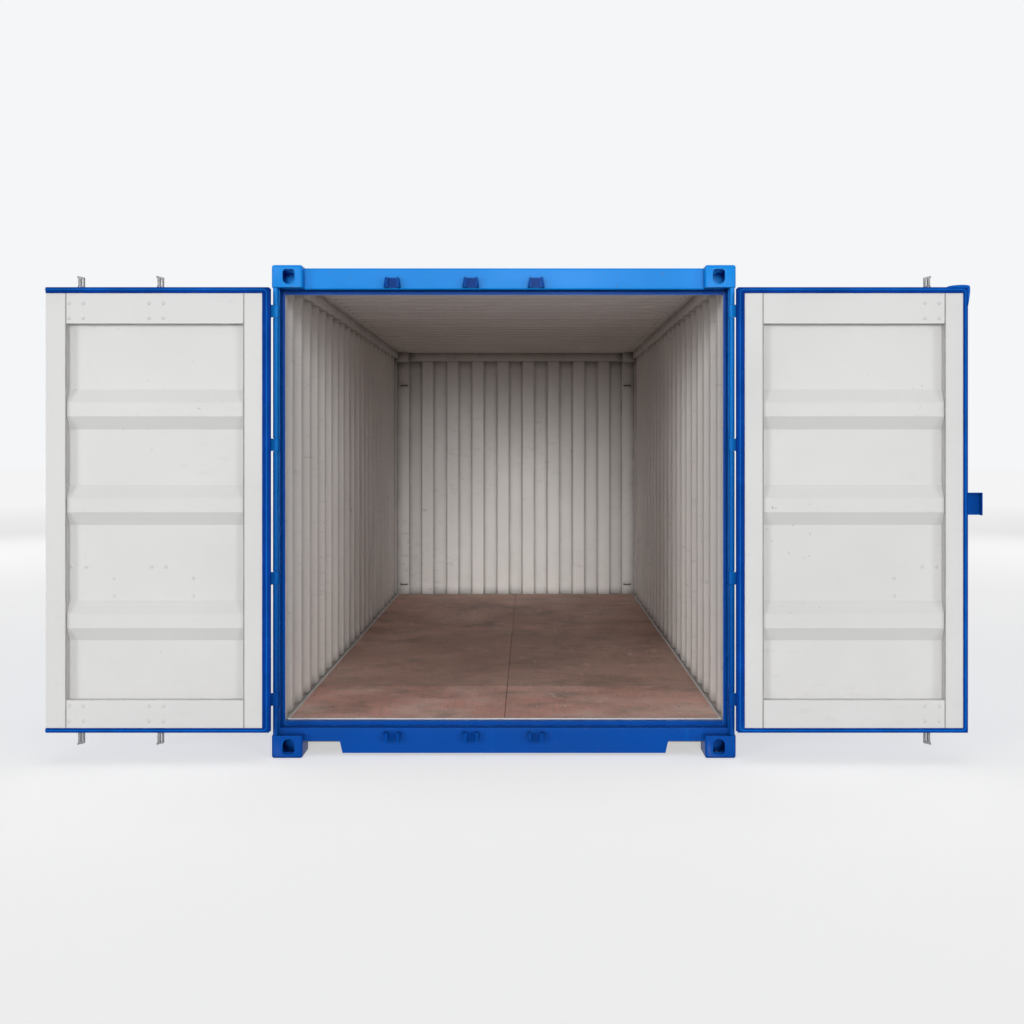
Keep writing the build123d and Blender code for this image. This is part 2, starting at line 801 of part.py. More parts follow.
def lock_rod(side, x):
    """A lock rod tube with a forged cam at each end; the cams' tongues point to the hinge."""
    axis = Pos(x, at_y(rod_depth), 0)
    low, high = leaf_bottom - rod_end_gap, leaf_top + rod_end_gap
    tube = extrude(axis * Pos(0, 0, low) * Circle(rod_radius), high - low, dir=(0, 0, 1))
    tube -= extrude(axis * Pos(0, 0, low) * Circle(rod_radius - rod_wall), high - low, dir=(0, 0, 1))
    reach = keeper_height / 2 + cam_overrun
    for inner, outer in ((high, header_keeper_place + reach), (low, sill_keeper_place - reach)):
        turn = 1 if outer > inner else -1
        plug = extrude(axis * Pos(0, 0, inner - turn * rod_radius) * Circle(rod_radius - rod_wall),
                       rod_radius + cam_neck_height, dir=(0, 0, turn))
        tube += plug + lock_cam(side, x, inner, outer)
    return tube


def lock_cam(side, x, inner, outer):
    """A forged cam: a sloping head on two legs, with a window between them."""
    turn = 1 if outer > inner else -1
    heel, tip = x - side * cam_heel, x + side * cam_reach
    foot = inner + turn * cam_neck_height / 2
    sill = inner + turn * cam_neck_height
    head_under_axis = outer - turn * (cam_head + cam_fall / 2)
    head_under_tip = outer - turn * (cam_head + cam_fall)
    outline = make_face(Polyline(
        (x - side * cam_leg, foot), (tip, foot), (tip, outer - turn * cam_fall), (heel, outer),
        (heel, outer - turn * cam_head), (x - side * cam_leg, head_under_axis), close=True))
    window_near, window_far = x + side * cam_leg / 2, tip - side * cam_leg
    window = make_face(Polyline(
        (window_near, sill), (window_far, sill), (window_far, head_under_tip), (window_near, head_under_axis),
        close=True))
    front, back = rod_depth - cam_thickness / 2, rod_depth + cam_thickness / 2
    return facing(outline, front, back) - facing(window, front, back)


def lock_handle(side, x):
    """A hub clamped on the rod, with the handle bar reaching towards the hinge."""
    low, high = handle_place - handle_hub_height / 2, handle_place + handle_hub_height / 2
    axis = Pos(x, at_y(rod_depth), low)
    hub = extrude(axis * Circle(handle_hub_radius), high - low, dir=(0, 0, 1))
    bar_face = rod_depth - handle_hub_radius
    bar_low, bar_high = handle_place - handle_height / 2, handle_place + handle_height / 2
    reach = x + side * handle_reach
    bend = x + side * (handle_hub_radius + handle_step)
    grip = bend + side * handle_step
    grip_face = bar_face + handle_step
    outline = [
        (x, bar_face), (bend, bar_face), (grip, grip_face), (reach, grip_face),
        (reach, grip_face + handle_thickness), (grip, grip_face + handle_thickness),
        (bend, bar_face + handle_thickness), (x, bar_face + handle_thickness),
    ]
    bar = upright([(place, at_y(depth)) for place, depth in outline], bar_low, bar_high)
    bore = extrude(axis * Circle(rod_radius), high - low, dir=(0, 0, 1))
    return hub + bar - bore


def cam_keepers(place, turn):
    """Keepers in which the cams lock: two jaws that taper away from the doorway, one with a hook."""
    low, high = place - keeper_height / 2, place + keeper_height / 2
    near, far = (low, high) if turn > 0 else (high, low)
    front = leaf_depth - keeper_reach
    half = keeper_gap + keeper_jaw
    keepers = []
    rods = [(-1, x) for x in left_rod_places.values()] + [(1, right_rod_place)]
    for side, x in rods:
        keeper = block((x - half, x + half), (at_y(front), at_y(leaf_depth)), (low, high))
        keeper = fillet(keeper.edges().filter_by(Axis.Z).sort_by(Axis.Y)[:2], keeper_radius)
        hook_edge = x + side * (keeper_gap - keeper_hook_width)
        base_face = at_y(leaf_depth - keeper_base)
        keeper -= block((x - side * keeper_gap, hook_edge), (at_y(front), base_face), (low, high))
        keeper -= block((hook_edge, x + side * keeper_gap), (at_y(front + keeper_hook_thickness), base_face),
                        (low, high))
        taper = make_face(Polyline((x - half, near), (x + half, near), (x + half - keeper_taper, far),
                                   (x - half + keeper_taper, far), close=True))
        keepers.append(keeper & facing(taper, front, leaf_depth))
    return keepers


def lock_box():
    """Open-bottomed steel box that covers a padlock where the right leaf laps the left one."""
    left = left_leaf_edge - lock_box_lap
    right = left + lock_box_width
    low, high = lock_box_place - lock_box_height / 2, lock_box_place + lock_box_height / 2
    back = leaf_depth - door_clearance
    front = leaf_depth - lock_box_reach
    shell = block((left, right), (at_y(front), at_y(back)), (low, high))
    shell = fillet(shell.faces().sort_by(Axis.Y)[0].edges(), lock_box_radius)
    shell -= block((left + lock_box_wall, right - lock_box_wall), (at_y(front + lock_box_wall), at_y(back)),
                   (low, high - lock_box_wall))
    foot_near = right - lock_box_foot
    foot = block((foot_near, right), (at_y(back - lock_box_wall), at_y(leaf_depth)), (low, high))
    return shell + foot


def folded_back(side, shape):
    """A closed door's piece, turned half a turn about its hinge line."""
    x, y = side * pin_x, at_y(pin_depth)
    return Pos(x, y, 0) * Rot(0, 0, 180) * Pos(-x, -y, 0) * shape


def container_nodes():
    """The pieces that stand still."""
    nodes = {}
    for name, side in sides.items():
        for end, at_door_end in (("rear", True), ("front", False)):
            for row, at_top in (("top", True), ("bottom", False)):
                nodes[f"{end}_{row}_casting_{name}"] = [casting(side, at_door_end, at_top)]
        nodes[f"rear_post_{name}"] = [rear_post(side)]
        nodes[f"front_post_{name}"] = [front_post(side)]
        nodes[f"top_side_rail_{name}"] = [top_side_rail(side)]
        nodes[f"bottom_side_rail_{name}"] = [bottom_side_rail(side)]
        nodes[f"side_wall_{name}"] = [side_wall(side)]
        nodes[f"hinge_lugs_{name}"] = hinge_lugs(side)
    nodes["door_header"] = [door_header()]
    nodes["door_sill"] = [door_sill()]
    nodes["front_top_rail"] = [front_top_rail()]
    nodes["front_bottom_rail"] = [front_bottom_rail()]
    nodes["front_wall"] = [front_wall()]
    nodes["roof"] = [roof()]
    nodes["floor"] = [floor()]
    nodes["cross_members"] = cross_members()
    nodes["forklift_pockets"] = forklift_pockets()
    nodes["header_cam_keepers"] = cam_keepers(header_keeper_place, 1)
    nodes["sill_cam_keepers"] = cam_keepers(sill_keeper_place, -1)
    return nodes


def door_nodes(name):
    """The pieces of one leaf and its lock gear, folded back."""
    side = sides[name]
    rods = left_rod_places if name == "left" else {"inner": right_rod_place}
    places = list(rods.values())
    closed = {
        f"{name}_door_stiles": door_stiles(side),
        f"{name}_door_rails": door_rails(side),
        f"{name}_door_panel": [door_panel(side)],
        f"{name}_door_gasket": [door_gasket(side)],
        f"{name}_hinge_blades": hinge_blades(side),
        f"{name}_rod_guides": rod_guides(places),
        f"{name}_handle_retainers": handle_retainers(side, places),
    }
    if name == "right":
        closed["lock_box"] = [lock_box()]
    for place, x in rods.items():
        closed[f"{name}_{place}_lock_rod"] = [lock_rod(side, x)]
        closed[f"{name}_{place}_handle"] = [lock_handle(side, x)]
    return {node: [folded_back(side, shape) for shape in shapes] for node, shapes in closed.items()}


def main():
    os.makedirs("parts", exist_ok=True)
    nodes = container_nodes()
    for name in sides:
        nodes.update(door_nodes(name))
    for node, shapes in nodes.items():
        solids = [Pos(centre_shift, 0, 0) * solid for shape in shapes for solid in shape.solids()]
        export_step(Compound(solids), os.path.join("parts", f"{node}.step"))


if __name__ == "__main__":
    main()
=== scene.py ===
import math

import bpy
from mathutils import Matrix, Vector


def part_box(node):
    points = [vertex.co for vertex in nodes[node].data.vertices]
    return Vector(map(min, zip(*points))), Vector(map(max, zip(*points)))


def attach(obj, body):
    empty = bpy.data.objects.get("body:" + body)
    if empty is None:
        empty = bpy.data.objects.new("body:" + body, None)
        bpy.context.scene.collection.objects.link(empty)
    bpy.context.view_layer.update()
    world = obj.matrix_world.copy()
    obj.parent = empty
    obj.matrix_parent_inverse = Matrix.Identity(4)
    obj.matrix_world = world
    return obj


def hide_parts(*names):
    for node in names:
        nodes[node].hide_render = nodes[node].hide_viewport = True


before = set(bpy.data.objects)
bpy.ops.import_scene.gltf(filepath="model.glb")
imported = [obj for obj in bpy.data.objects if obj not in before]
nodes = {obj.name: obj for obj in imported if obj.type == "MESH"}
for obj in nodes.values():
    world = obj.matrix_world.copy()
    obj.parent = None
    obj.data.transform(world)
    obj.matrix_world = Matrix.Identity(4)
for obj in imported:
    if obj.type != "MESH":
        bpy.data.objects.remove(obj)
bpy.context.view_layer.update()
sides = {"left": -1, "right": 1}
locks = {"left": ("left_outer", "left_inner"), "right": ("right_inner",)}

# Places in metres, read from the frame
floor_low, floor_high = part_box("floor")
middle_x = (floor_low.x + floor_high.x) / 2
door_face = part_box("rear_bottom_casting_right")[0].y
half_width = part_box("rear_bottom_casting_right")[1].x - middle_x
lining_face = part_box("left_door_stiles")[0].y

# Ways that a face can be turned
to_front = (0, 1, 0)
to_doors = (0, -1, 0)
up = (0, 0, 1)
down = (0, 0, -1)

# Camera, matched to the photograph's frame of 1024 by 1024 pixels
camera_distance = 6.727
camera_side = 0.1325
camera_height = 1.637
metres_per_pixel = 0.005247
frame_pixels = 1024
sensor_width = 36.0
vanishing_pixel = (529.0, 446.5)

# Colours of the paints and other finishes
blue = (0.0004, 0.072, 0.38, 1.0)
# Painted light: the top colour of the blue paint, lighter where sky light falls
top_lit_blue = (0.006, 0.265, 0.80, 1.0)
shaded_blue = (0.0005, 0.078, 0.40, 1.0)
# Painted shade: a darker copy of the blue paint for the cam keepers
keeper_shade_blue = (0.0003, 0.060, 0.33, 1.0)
# Painted highlight and wear: the lighter blue of rubbed edges
wear_and_highlight_blue = (0.008, 0.24, 0.68, 1.0)
wall_grey = (0.86, 0.835, 0.805, 1.0)
lining_white = (0.66, 0.656, 0.65, 1.0)
sealant_grey = (0.36, 0.35, 0.335, 1.0)
underframe_black = (0.022, 0.023, 0.025, 1.0)
steel_grey = (0.25, 0.255, 0.26, 1.0)
zinc_dark = (0.085, 0.087, 0.09, 1.0)
# Painted shade in the corners of the lock gear
crease_shade_black = (0.02, 0.02, 0.02, 1.0)
rubber_blue = (0.0008, 0.044, 0.30, 1.0)
# Painted highlight: a lighter copy of the gasket rubber, for its ridges and corner flap
lit_gasket_blue = (0.003, 0.13, 0.58, 1.0)
ply_brown = (0.60, 0.395, 0.315, 1.0)
ply_dark = (0.36, 0.245, 0.19, 1.0)
ply_red = (0.86, 0.46, 0.385, 1.0)
ply_pale = (0.92, 0.70, 0.61, 1.0)
grit_pale = (0.90, 0.86, 0.82, 1.0)
rust_brown = (0.17, 0.06, 0.022, 1.0)
dust_tan = (0.36, 0.31, 0.26, 1.0)
scuff_dark = (0.20, 0.19, 0.18, 1.0)
# Painted shade in folds and corners: dark blue on the paint, grey on the pale coat
grime_blue = (0.0003, 0.018, 0.12, 1.0)
wall_grime = (0.20, 0.185, 0.165, 1.0)
black = (0.0, 0.0, 0.0, 1.0)
stage_pale = (0.70, 0.70, 0.70, 1.0)
sky_pale = (0.955, 0.97, 0.985, 1.0)

# Depths and margins that part the finishes of one solid
casting_skin = 0.014
post_front = 0.050
header_front = 0.072
lip_depth = 0.121
stile_margin = 0.002
rail_margin = 0.010
ceiling_skin = 0.003
ceiling_fade = 0.001

# Rounded edges of the solids, with angles in degrees
frame_edge = 0.0025
leaf_edge = 0.002
panel_bend = 0.009
roof_bend = 0.006
bend_angle = 20
crisp_angle = 50
weld_gap = 0.00002

# Fasteners and lines on the doors
bolt_radius = 0.0105
bolt_height = 0.005
nut_radius = 0.009
nut_height = 0.011
guide_bolt_across = 0.037
guide_bolt_rise = 0.039
retainer_offset = 0.181
retainer_bolt_rise = 0.046
guide_heights = {"top": 2.342, "middle": 1.009, "bottom": 0.253}
handle_height = 0.904
guide_base = 0.006
sealant_radius = 0.0028

# A dark bruise in the paint of the left wall
bruise_place = (middle_x - half_width + 0.046, door_face + 1.09, 0.567)
bruise_reach = 0.075

# Corrugated sheets: each wave is an outer flat, a slope, an inner flat and a slope
sheet = 0.002
near_sheet = 0.10
merge_gap = 0.0001
side_bend = 0.010
front_bend = 0.002
side_wave = {"Outer Flat": 0.072, "Slope": 0.068, "Inner Flat": 0.070, "Depth": 0.036}
front_wave = {"Outer Flat": 0.107, "Slope": 0.018, "Inner Flat": 0.107, "Depth": 0.046}

# Ridges pressed into the doors' sheets
door_ridges = (0.729, 1.3315, 1.830)
door_ridge_flat = 0.072
door_ridge_slope = 0.068

# Gasket ridges, the lip at the hinges and the loose flap at the right door's corner
ridge_radius = 0.0042
ridge_corner = 0.018
ridge_inset = 0.012
lip_radius = 0.0088
flap_top = 0.11
flap_side = 0.10
flap_round = 0.02
flap_reach = 0.011
flap_thickness = 0.004
flap_root = 0.004
flap_seat = 0.0006
flap_sink = 0.0005
flap_lean = 0.007
flap_skew = 0.75
flap_fullness = 0.8
flap_steps = 28

# Lashing bars
lashing_heights = (0.270, 2.241)
lashing_reach = 0.022
lashing_half = 0.034
lashing_knee = 0.8 * lashing_half
lashing_radius = 0.005
lashing_corner = 0.010
lashing_inset = 0.112

# Plywood floor
sheet_seams = (1.115, 3.509, 5.903)
sheet_tones = (1.0, 0.85, 0.30, 0.15, 0.45, 0.35, 0.45, 0.4)
sheet_gap = 0.003
sheet_edge = 0.0012
screw_radius = 0.006
screw_top = 0.004
screw_rise = 0.0012
screw_stray = 0.006
screw_row_step = 0.30
screw_column_step = 0.155
screw_margin = 0.03
caulk_radius = 0.008
caulk_sink = 0.4 * caulk_radius
caulk_corner = 0.010
random_seed = 7

# Stage: the floor's own glow where it is seen, near and far, and the sky's light
stage_reach = 80.0
glow_start = 7.0
glow_end = 30.0
near_glow = 0.51
far_glow = 0.745
fill_strength = 0.10
seen_strength = 0.95

# Kinds of node sockets that hold no plain value
geometry_socket = "NodeSocketGeometry"
finish_socket = "NodeSocketMaterial"


# Node trees

def add_node(tree, kind, inputs=None, **settings):
    """A node with its settings, and its inputs given as values or as sockets to link."""
    node = tree.nodes.new(kind)
    for key, value in settings.items():
        setattr(node, key, value)
    for key, value in (inputs or {}).items():
        if isinstance(value, bpy.types.NodeSocket):
            tree.links.new(value, node.inputs[key])
        else:
            node.inputs[key].default_value = value
    return node


def socket_kind(value):
    """Kind of node socket that holds such a value."""
    if isinstance(value, tuple):
        return "NodeSocketColor" if len(value) == 4 else "NodeSocketVector"
    return "NodeSocketInt" if isinstance(value, int) else "NodeSocketFloat"


def new_tree(name, kind, inputs, outputs):
    """A node group, its input sockets and its output node; an input is a first value or a kind of socket."""
    tree = bpy.data.node_groups.new(name, kind)
    for socket, value in inputs.items():
        if isinstance(value, str):
            tree.interface.new_socket(socket, in_out="INPUT", socket_type=value)
        else:
            made = tree.interface.new_socket(socket, in_out="INPUT", socket_type=socket_kind(value))
            made.default_value = value
    for socket, output_kind in outputs.items():
        tree.interface.new_socket(socket, in_out="OUTPUT", socket_type=output_kind)
    given = tree.nodes.new("NodeGroupInput").outputs
    return tree, given, tree.nodes.new("NodeGroupOutput")


def blend(tree, factor, under, over):
    """Colour socket of one colour laid over another."""
    node = add_node(tree, "ShaderNodeMix", {0: factor, 6: under, 7: over}, data_type="RGBA")
    return node.outputs[2]


def calculate(tree, operation, first, second):
    """Value socket of a sum, product or other calculation, kept between 0 and 1."""
    node = add_node(tree, "ShaderNodeMath", {0: first, 1: second}, operation=operation, use_clamp=True)
    return node.outputs[0]


def product(tree, first, *others):
    """Value socket of several values multiplied, kept between 0 and 1."""
    for other in others:
        first = calculate(tree, "MULTIPLY", first, other)
    return first


def measure(tree, operation, first, second=(0.0, 0.0, 0.0)):
    """Value socket of a length, a distance or a dot product."""
    node = add_node(tree, "ShaderNodeVectorMath", {0: first, 1: second}, operation=operation)
    return node.outputs["Value"]


def ramp(tree, value, start, end, low=0.0, high=1.0):
    """Value socket that goes from low to high while the value goes from start to end."""
    node = add_node(tree, "ShaderNodeMapRange",
                    {"Value": value, "From Min": start, "From Max": end, "To Min": low, "To Max": high})
    return node.outputs["Result"]


def object_place(tree, stretch=None):
    """Vector socket of the place on the piece, stretched along its axes where asked."""
    place = add_node(tree, "ShaderNodeTexCoord").outputs["Object"]
    if stretch is None:
        return place
    return add_node(tree, "ShaderNodeMapping", {"Vector": place, "Scale": stretch}).outputs["Vector"]


def place_axes(tree):
    """Sockets of the place on the piece along X, Y and Z."""
    return add_node(tree, "ShaderNodeSeparateXYZ", {"Vector": object_place(tree)}).outputs


def noise(tree, place, scale, detail=4.0, roughness=0.55):
    """Value socket of a noise with about so many lumps a metre."""
    node = add_node(tree, "ShaderNodeTexNoise",
                    {"Vector": place, "Scale": scale, "Detail": detail, "Roughness": roughness})
    return node.outputs[0]


# Effects shared by the materials

def effect_tree(name, inputs):
    """A shader node group that changes a colour, and puts out the colour and where it changed."""
    return new_tree(name, "ShaderNodeTree", {"Colour": blue, **inputs},
                    {"Colour": "NodeSocketColor", "Mask": "NodeSocketFloat"})


def end_effect(tree, out, mask, colour):
    """Joins a mask and a colour to the outputs of an effect."""
    tree.links.new(colour, out.inputs["Colour"])
    tree.links.new(mask, out.inputs["Mask"])
    return tree


def make_patches():
    """Soft lighter and darker patches in a colour."""
    tree, given, out = effect_tree("tone_patches", {"Lumps": 2.0, "Strength": 0.1})
    mask = ramp(tree, noise(tree, object_place(tree), given["Lumps"]), 0.3, 0.7)
    dark = blend(tree, given["Strength"], given["Colour"], black)
    return end_effect(tree, out, mask, blend(tree, mask, dark, given["Colour"]))


def make_low_dust():
    """Dust that thins out from the ground up to a height."""
    tree, given, out = effect_tree("low_dust", {"Dust": dust_tan, "Amount": 0.2, "Height": 0.6})
    fade = ramp(tree, place_axes(tree)["Z"], 0.0, given["Height"], 1.0, 0.0)
    grains = ramp(tree, noise(tree, object_place(tree), 9.0, 8.0, 0.65), 0.35, 0.7)
    mask = product(tree, fade, grains, given["Amount"])
    return end_effect(tree, out, mask, blend(tree, mask, given["Colour"], given["Dust"]))


def make_specks():
    """Small scattered specks of another colour, such as rust that breaks through paint."""
    tree, given, out = effect_tree("scattered_specks", {"Speck": rust_brown, "Specks": 30.0, "Amount": 0.05})
    place = object_place(tree)
    spots = ramp(tree, noise(tree, place, given["Specks"], 6.0, 0.6), 0.66, 0.72)
    zones = ramp(tree, noise(tree, place, 1.3, 3.0), 0.45, 0.65)
    mask = product(tree, spots, zones, given["Amount"])
    return end_effect(tree, out, mask, blend(tree, mask, given["Colour"], given["Speck"]))


def make_scuffs():
    """Thin rubbed streaks; Stretch is how fine they are along each axis."""
    tree, given, out = effect_tree(
        "rubbed_streaks", {"Scuff": scuff_dark, "Stretch": (1.0, 1.0, 1.0), "Amount": 0.2})
    streaks = ramp(tree, noise(tree, object_place(tree, given["Stretch"]), 1.0, 7.0, 0.6), 0.58, 0.72)
    zones = ramp(tree, noise(tree, object_place(tree), 0.9, 2.0), 0.42, 0.62)
    mask = product(tree, streaks, zones, given["Amount"])
    return end_effect(tree, out, mask, blend(tree, mask, given["Colour"], given["Scuff"]))


def make_grime():
    """Painted shade that darkens folds, corners and joints; Reach is how far it spreads from them."""
    tree, given, out = effect_tree("corner_grime", {"Grime": scuff_dark, "Reach": 0.04, "Amount": 0.5})
    nearby = add_node(tree, "ShaderNodeAmbientOcclusion", {"Distance": given["Reach"]}, samples=6)
    closed = ramp(tree, nearby.outputs["AO"], 0.92, 0.35)
    uneven = ramp(tree, noise(tree, object_place(tree), 7.0, 5.0), 0.2, 0.6, 0.6, 1.0)
    mask = product(tree, closed, uneven, given["Amount"])
    return end_effect(tree, out, mask, blend(tree, mask, given["Colour"], given["Grime"]))


def make_edge_wear_and_highlight():
    """Mask of corners and edges, where paint is rubbed thin and a painted highlight is laid."""
    tree, given, out = new_tree(
        "edge_wear_and_highlight", "ShaderNodeTree", {"Width": 0.006, "Amount": 0.5}, {"Mask": "NodeSocketFloat"})
    rounded = add_node(tree, "ShaderNodeBevel", {"Radius": given["Width"]}, samples=4).outputs["Normal"]
    plain = add_node(tree, "ShaderNodeNewGeometry").outputs["Normal"]
    edge = ramp(tree, measure(tree, "DOT_PRODUCT", rounded, plain), 0.98, 0.80)
    broken = ramp(tree, noise(tree, object_place(tree), 22.0, 6.0, 0.65), 0.42, 0.62)
    tree.links.new(product(tree, edge, broken, given["Amount"]), out.inputs["Mask"])
    return tree


patches = make_patches()
low_dust = make_low_dust()
specks = make_specks()
scuffs = make_scuffs()
edge_wear_and_highlight = make_edge_wear_and_highlight()
grime = make_grime()


# Materials

def new_material(name):
    """An empty material with a Principled shader, its tree and that shader."""
    material = bpy.data.materials.new(name)
    material.use_nodes = True
    tree = material.node_tree
    tree.nodes.clear()
    shader = add_node(tree, "ShaderNodeBsdfPrincipled")
    add_node(tree, "ShaderNodeOutputMaterial", {"Surface": shader.outputs["BSDF"]})
    return material, tree, shader


def effect(tree, group, colour=None, **values):
    """A shared effect placed in a material, on a colour where it takes one."""
    inputs = {name.capitalize(): value for name, value in values.items()}
    if colour is not None:
        inputs["Colour"] = colour
    return add_node(tree, "ShaderNodeGroup", inputs, node_tree=group).outputs


def dress(tree, shader, colour, gloss, shine=None):
    """Gives a shader its colour and roughness, and its specular level where that isn't the usual one."""
    tree.links.new(colour, shader.inputs["Base Color"])
    tree.links.new(gloss, shader.inputs["Roughness"])
    if shine is not None:
        shader.inputs["Specular IOR Level"].default_value = shine


def bump(tree, shader, height, strength, distance=0.002):
    """Surface relief from a height value."""
    node = add_node(tree, "ShaderNodeBump", {"Height": height, "Strength": strength, "Distance": distance})
    tree.links.new(node.outputs["Normal"], shader.inputs["Normal"])


def blue_coat(tree, low_colour, top_colour):
    """Colour and roughness of glossy paint, painted lighter towards the top as sky light, with runs, painted
    shade in corners and rubbed edges drawn lighter as painted highlights.
    """
    # Painted light: the paint is drawn lighter towards the top, where sky light falls
    lit_towards_top = blend(tree, ramp(tree, place_axes(tree)["Z"], 0.25, 2.5), low_colour, top_colour)
    tone = effect(tree, patches, lit_towards_top, lumps=1.7, strength=0.14)
    runs = effect(tree, scuffs, tone["Colour"], scuff=wear_and_highlight_blue, stretch=(26.0, 26.0, 1.6), amount=0.16)
    dusty = effect(tree, low_dust, runs["Colour"], amount=0.01, height=0.4)
    # Painted shade: darker in folds, corners and joints
    crease_shaded = effect(tree, grime, dusty["Colour"], grime=grime_blue, reach=0.022, amount=0.6)
    # Painted highlight and wear: corners and edges are drawn in a lighter blue
    rubbed = effect(tree, edge_wear_and_highlight, width=0.007, amount=0.55)
    worn = blend(tree, rubbed["Mask"], crease_shaded["Colour"], wear_and_highlight_blue)
    rusty = effect(tree, specks, worn, specks=38.0, amount=0.5)
    return rusty["Colour"], ramp(tree, tone["Mask"], 0.0, 1.0, 0.34, 0.24)


def blue_paint(name, low_colour, top_colour, shine):
    """Sprayed blue paint with a slight texture."""
    material, tree, shader = new_material(name)
    dress(tree, shader, *blue_coat(tree, low_colour, top_colour), shine)
    bump(tree, shader, noise(tree, object_place(tree), 160.0, 3.0), 0.10)
    return material


def sheet_coat(tree, colour, scuff_amount, dust_amount, grime_amount):
    """Colour and roughness of the pale satin paint inside, with faint dirt, scuffs, pin rust and painted
    shade in folds.
    """
    tone = effect(tree, patches, colour, lumps=1.1, strength=0.07)
    dull = effect(tree, scuffs, tone["Colour"], scuff=scuff_dark, stretch=(9.0, 2.2, 30.0),
                  amount=scuff_amount)
    dusty = effect(tree, low_dust, dull["Colour"], amount=dust_amount, height=1.1)
    # Painted shade: darker in the folds of the sheets and in corners
    crease_shaded = effect(tree, grime, dusty["Colour"], grime=wall_grime, reach=0.085, amount=grime_amount)
    place = object_place(tree)
    near_bruise = ramp(tree, measure(tree, "DISTANCE", place, bruise_place), bruise_reach, bruise_reach / 3)
    broken = ramp(tree, noise(tree, place, 34.0, 5.0), 0.42, 0.56)
    bruised = blend(tree, product(tree, near_bruise, broken), crease_shaded["Colour"], scuff_dark)
    rusty = effect(tree, specks, bruised, specks=46.0, amount=0.5)
    return rusty["Colour"], ramp(tree, tone["Mask"], 0.0, 1.0, 0.55, 0.42)


def sheet_paint(name, *coat_values):
    """Pale paint of the inner faces with a slight texture."""
    material, tree, shader = new_material(name)
    dress(tree, shader, *sheet_coat(tree, *coat_values))
    bump(tree, shader, noise(tree, object_place(tree), 120.0, 3.0), 0.08)
    return material


def wave_layout(run, wave):
    """Pitch, count and first bend of the waves that are centred on a wall of that run."""
    pitch = wave["Outer Flat"] + wave["Inner Flat"] + 2 * wave["Slope"]
    count = int((run - wave["Outer Flat"]) // pitch)
    margin = (run - count * pitch - wave["Outer Flat"]) / 2
    return pitch, count, margin + wave["Outer Flat"]


def crest(tree, value, foot, top, top_end, foot_end):
    """1 along the top of a pressed ridge, falling to 0 at its feet."""
    return calculate(tree, "MINIMUM", ramp(tree, value, foot, top), ramp(tree, value, foot_end, top_end))


def sheet_line(tree, along, start, run, wave):
    """How far inwards a corrugated sheet lies at a place along it."""
    pitch, count, first = wave_layout(run, wave)
    length = count * pitch
    from_first = ramp(tree, along, start + first, start + first + length, 0.0, length)
    step = calculate(tree, "MODULO", from_first, pitch)
    rise_end = wave["Slope"]
    fall_start = rise_end + wave["Inner Flat"]
    share = crest(tree, step, 0.0, rise_end, fall_start, fall_start + wave["Slope"])
    return product(tree, share, wave["Depth"])


def beyond(tree, depth, line):
    """1 where a depth is past the middle of a sheet that lies at a line."""
    return calculate(tree, "GREATER_THAN", depth, calculate(tree, "ADD", line, sheet / 2))


def cargo_side(tree):
    """1 on the cargo space's side of the wall sheets and roof, 0 outside."""
    x, y, z = place_axes(tree)
    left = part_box("side_wall_left")[0]
    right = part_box("side_wall_right")[1]
    from_left = ramp(tree, x, left.x, left.x + near_sheet, 0.0, near_sheet)
    from_right = ramp(tree, x, right.x, right.x - near_sheet, 0.0, near_sheet)
    from_side = calculate(tree, "MINIMUM", from_left, from_right)
    past_sides = beyond(tree, from_side, sheet_line(tree, y, left.y, right.y - left.y, side_wave))
    low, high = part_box("front_wall")
    from_front = ramp(tree, y, high.y, high.y - near_sheet, 0.0, near_sheet)
    past_front = beyond(tree, from_front, sheet_line(tree, x, low.x, high.x - low.x, front_wave))
    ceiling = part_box("roof")[0].z + ceiling_skin
    under_roof = ramp(tree, z, ceiling + ceiling_fade, ceiling)
    return product(tree, past_sides, past_front, under_roof)


def lining_side(tree):
    """1 on the inner side of a door's ridged sheet, 0 outside."""
    place = place_axes(tree)
    low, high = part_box("left_door_panel")
    depth = high.y - low.y
    top = door_ridge_flat / 2
    foot = top + door_ridge_slope
    share = 0.0
    for height in door_ridges:
        ridge = crest(tree, place["Z"], height - foot, height - top, height + top, height + foot)
        share = calculate(tree, "MAXIMUM", ridge, share)
    from_outside = ramp(tree, place["Y"], high.y, low.y, 0.0, depth)
    return beyond(tree, from_outside, product(tree, share, depth - sheet))


def two_tone(name, inner_side, *coat_values):
    """Blue outside and a pale coat on the inner side, parted along the sheet that meets the piece."""
    material, tree, shader = new_material(name)
    # Painted light: the outer blue is drawn lighter towards the top
    outer_colour, outer_gloss = blue_coat(tree, blue, top_lit_blue)
    inner_colour, inner_gloss = sheet_coat(tree, *coat_values)
    inner = inner_side(tree)
    gloss = calculate(tree, "MAXIMUM", outer_gloss, product(tree, inner, inner_gloss))
    dress(tree, shader, blend(tree, inner, outer_colour, inner_colour), gloss, 0.2)
    bump(tree, shader, noise(tree, object_place(tree), 120.0, 3.0), 0.08)
    return material


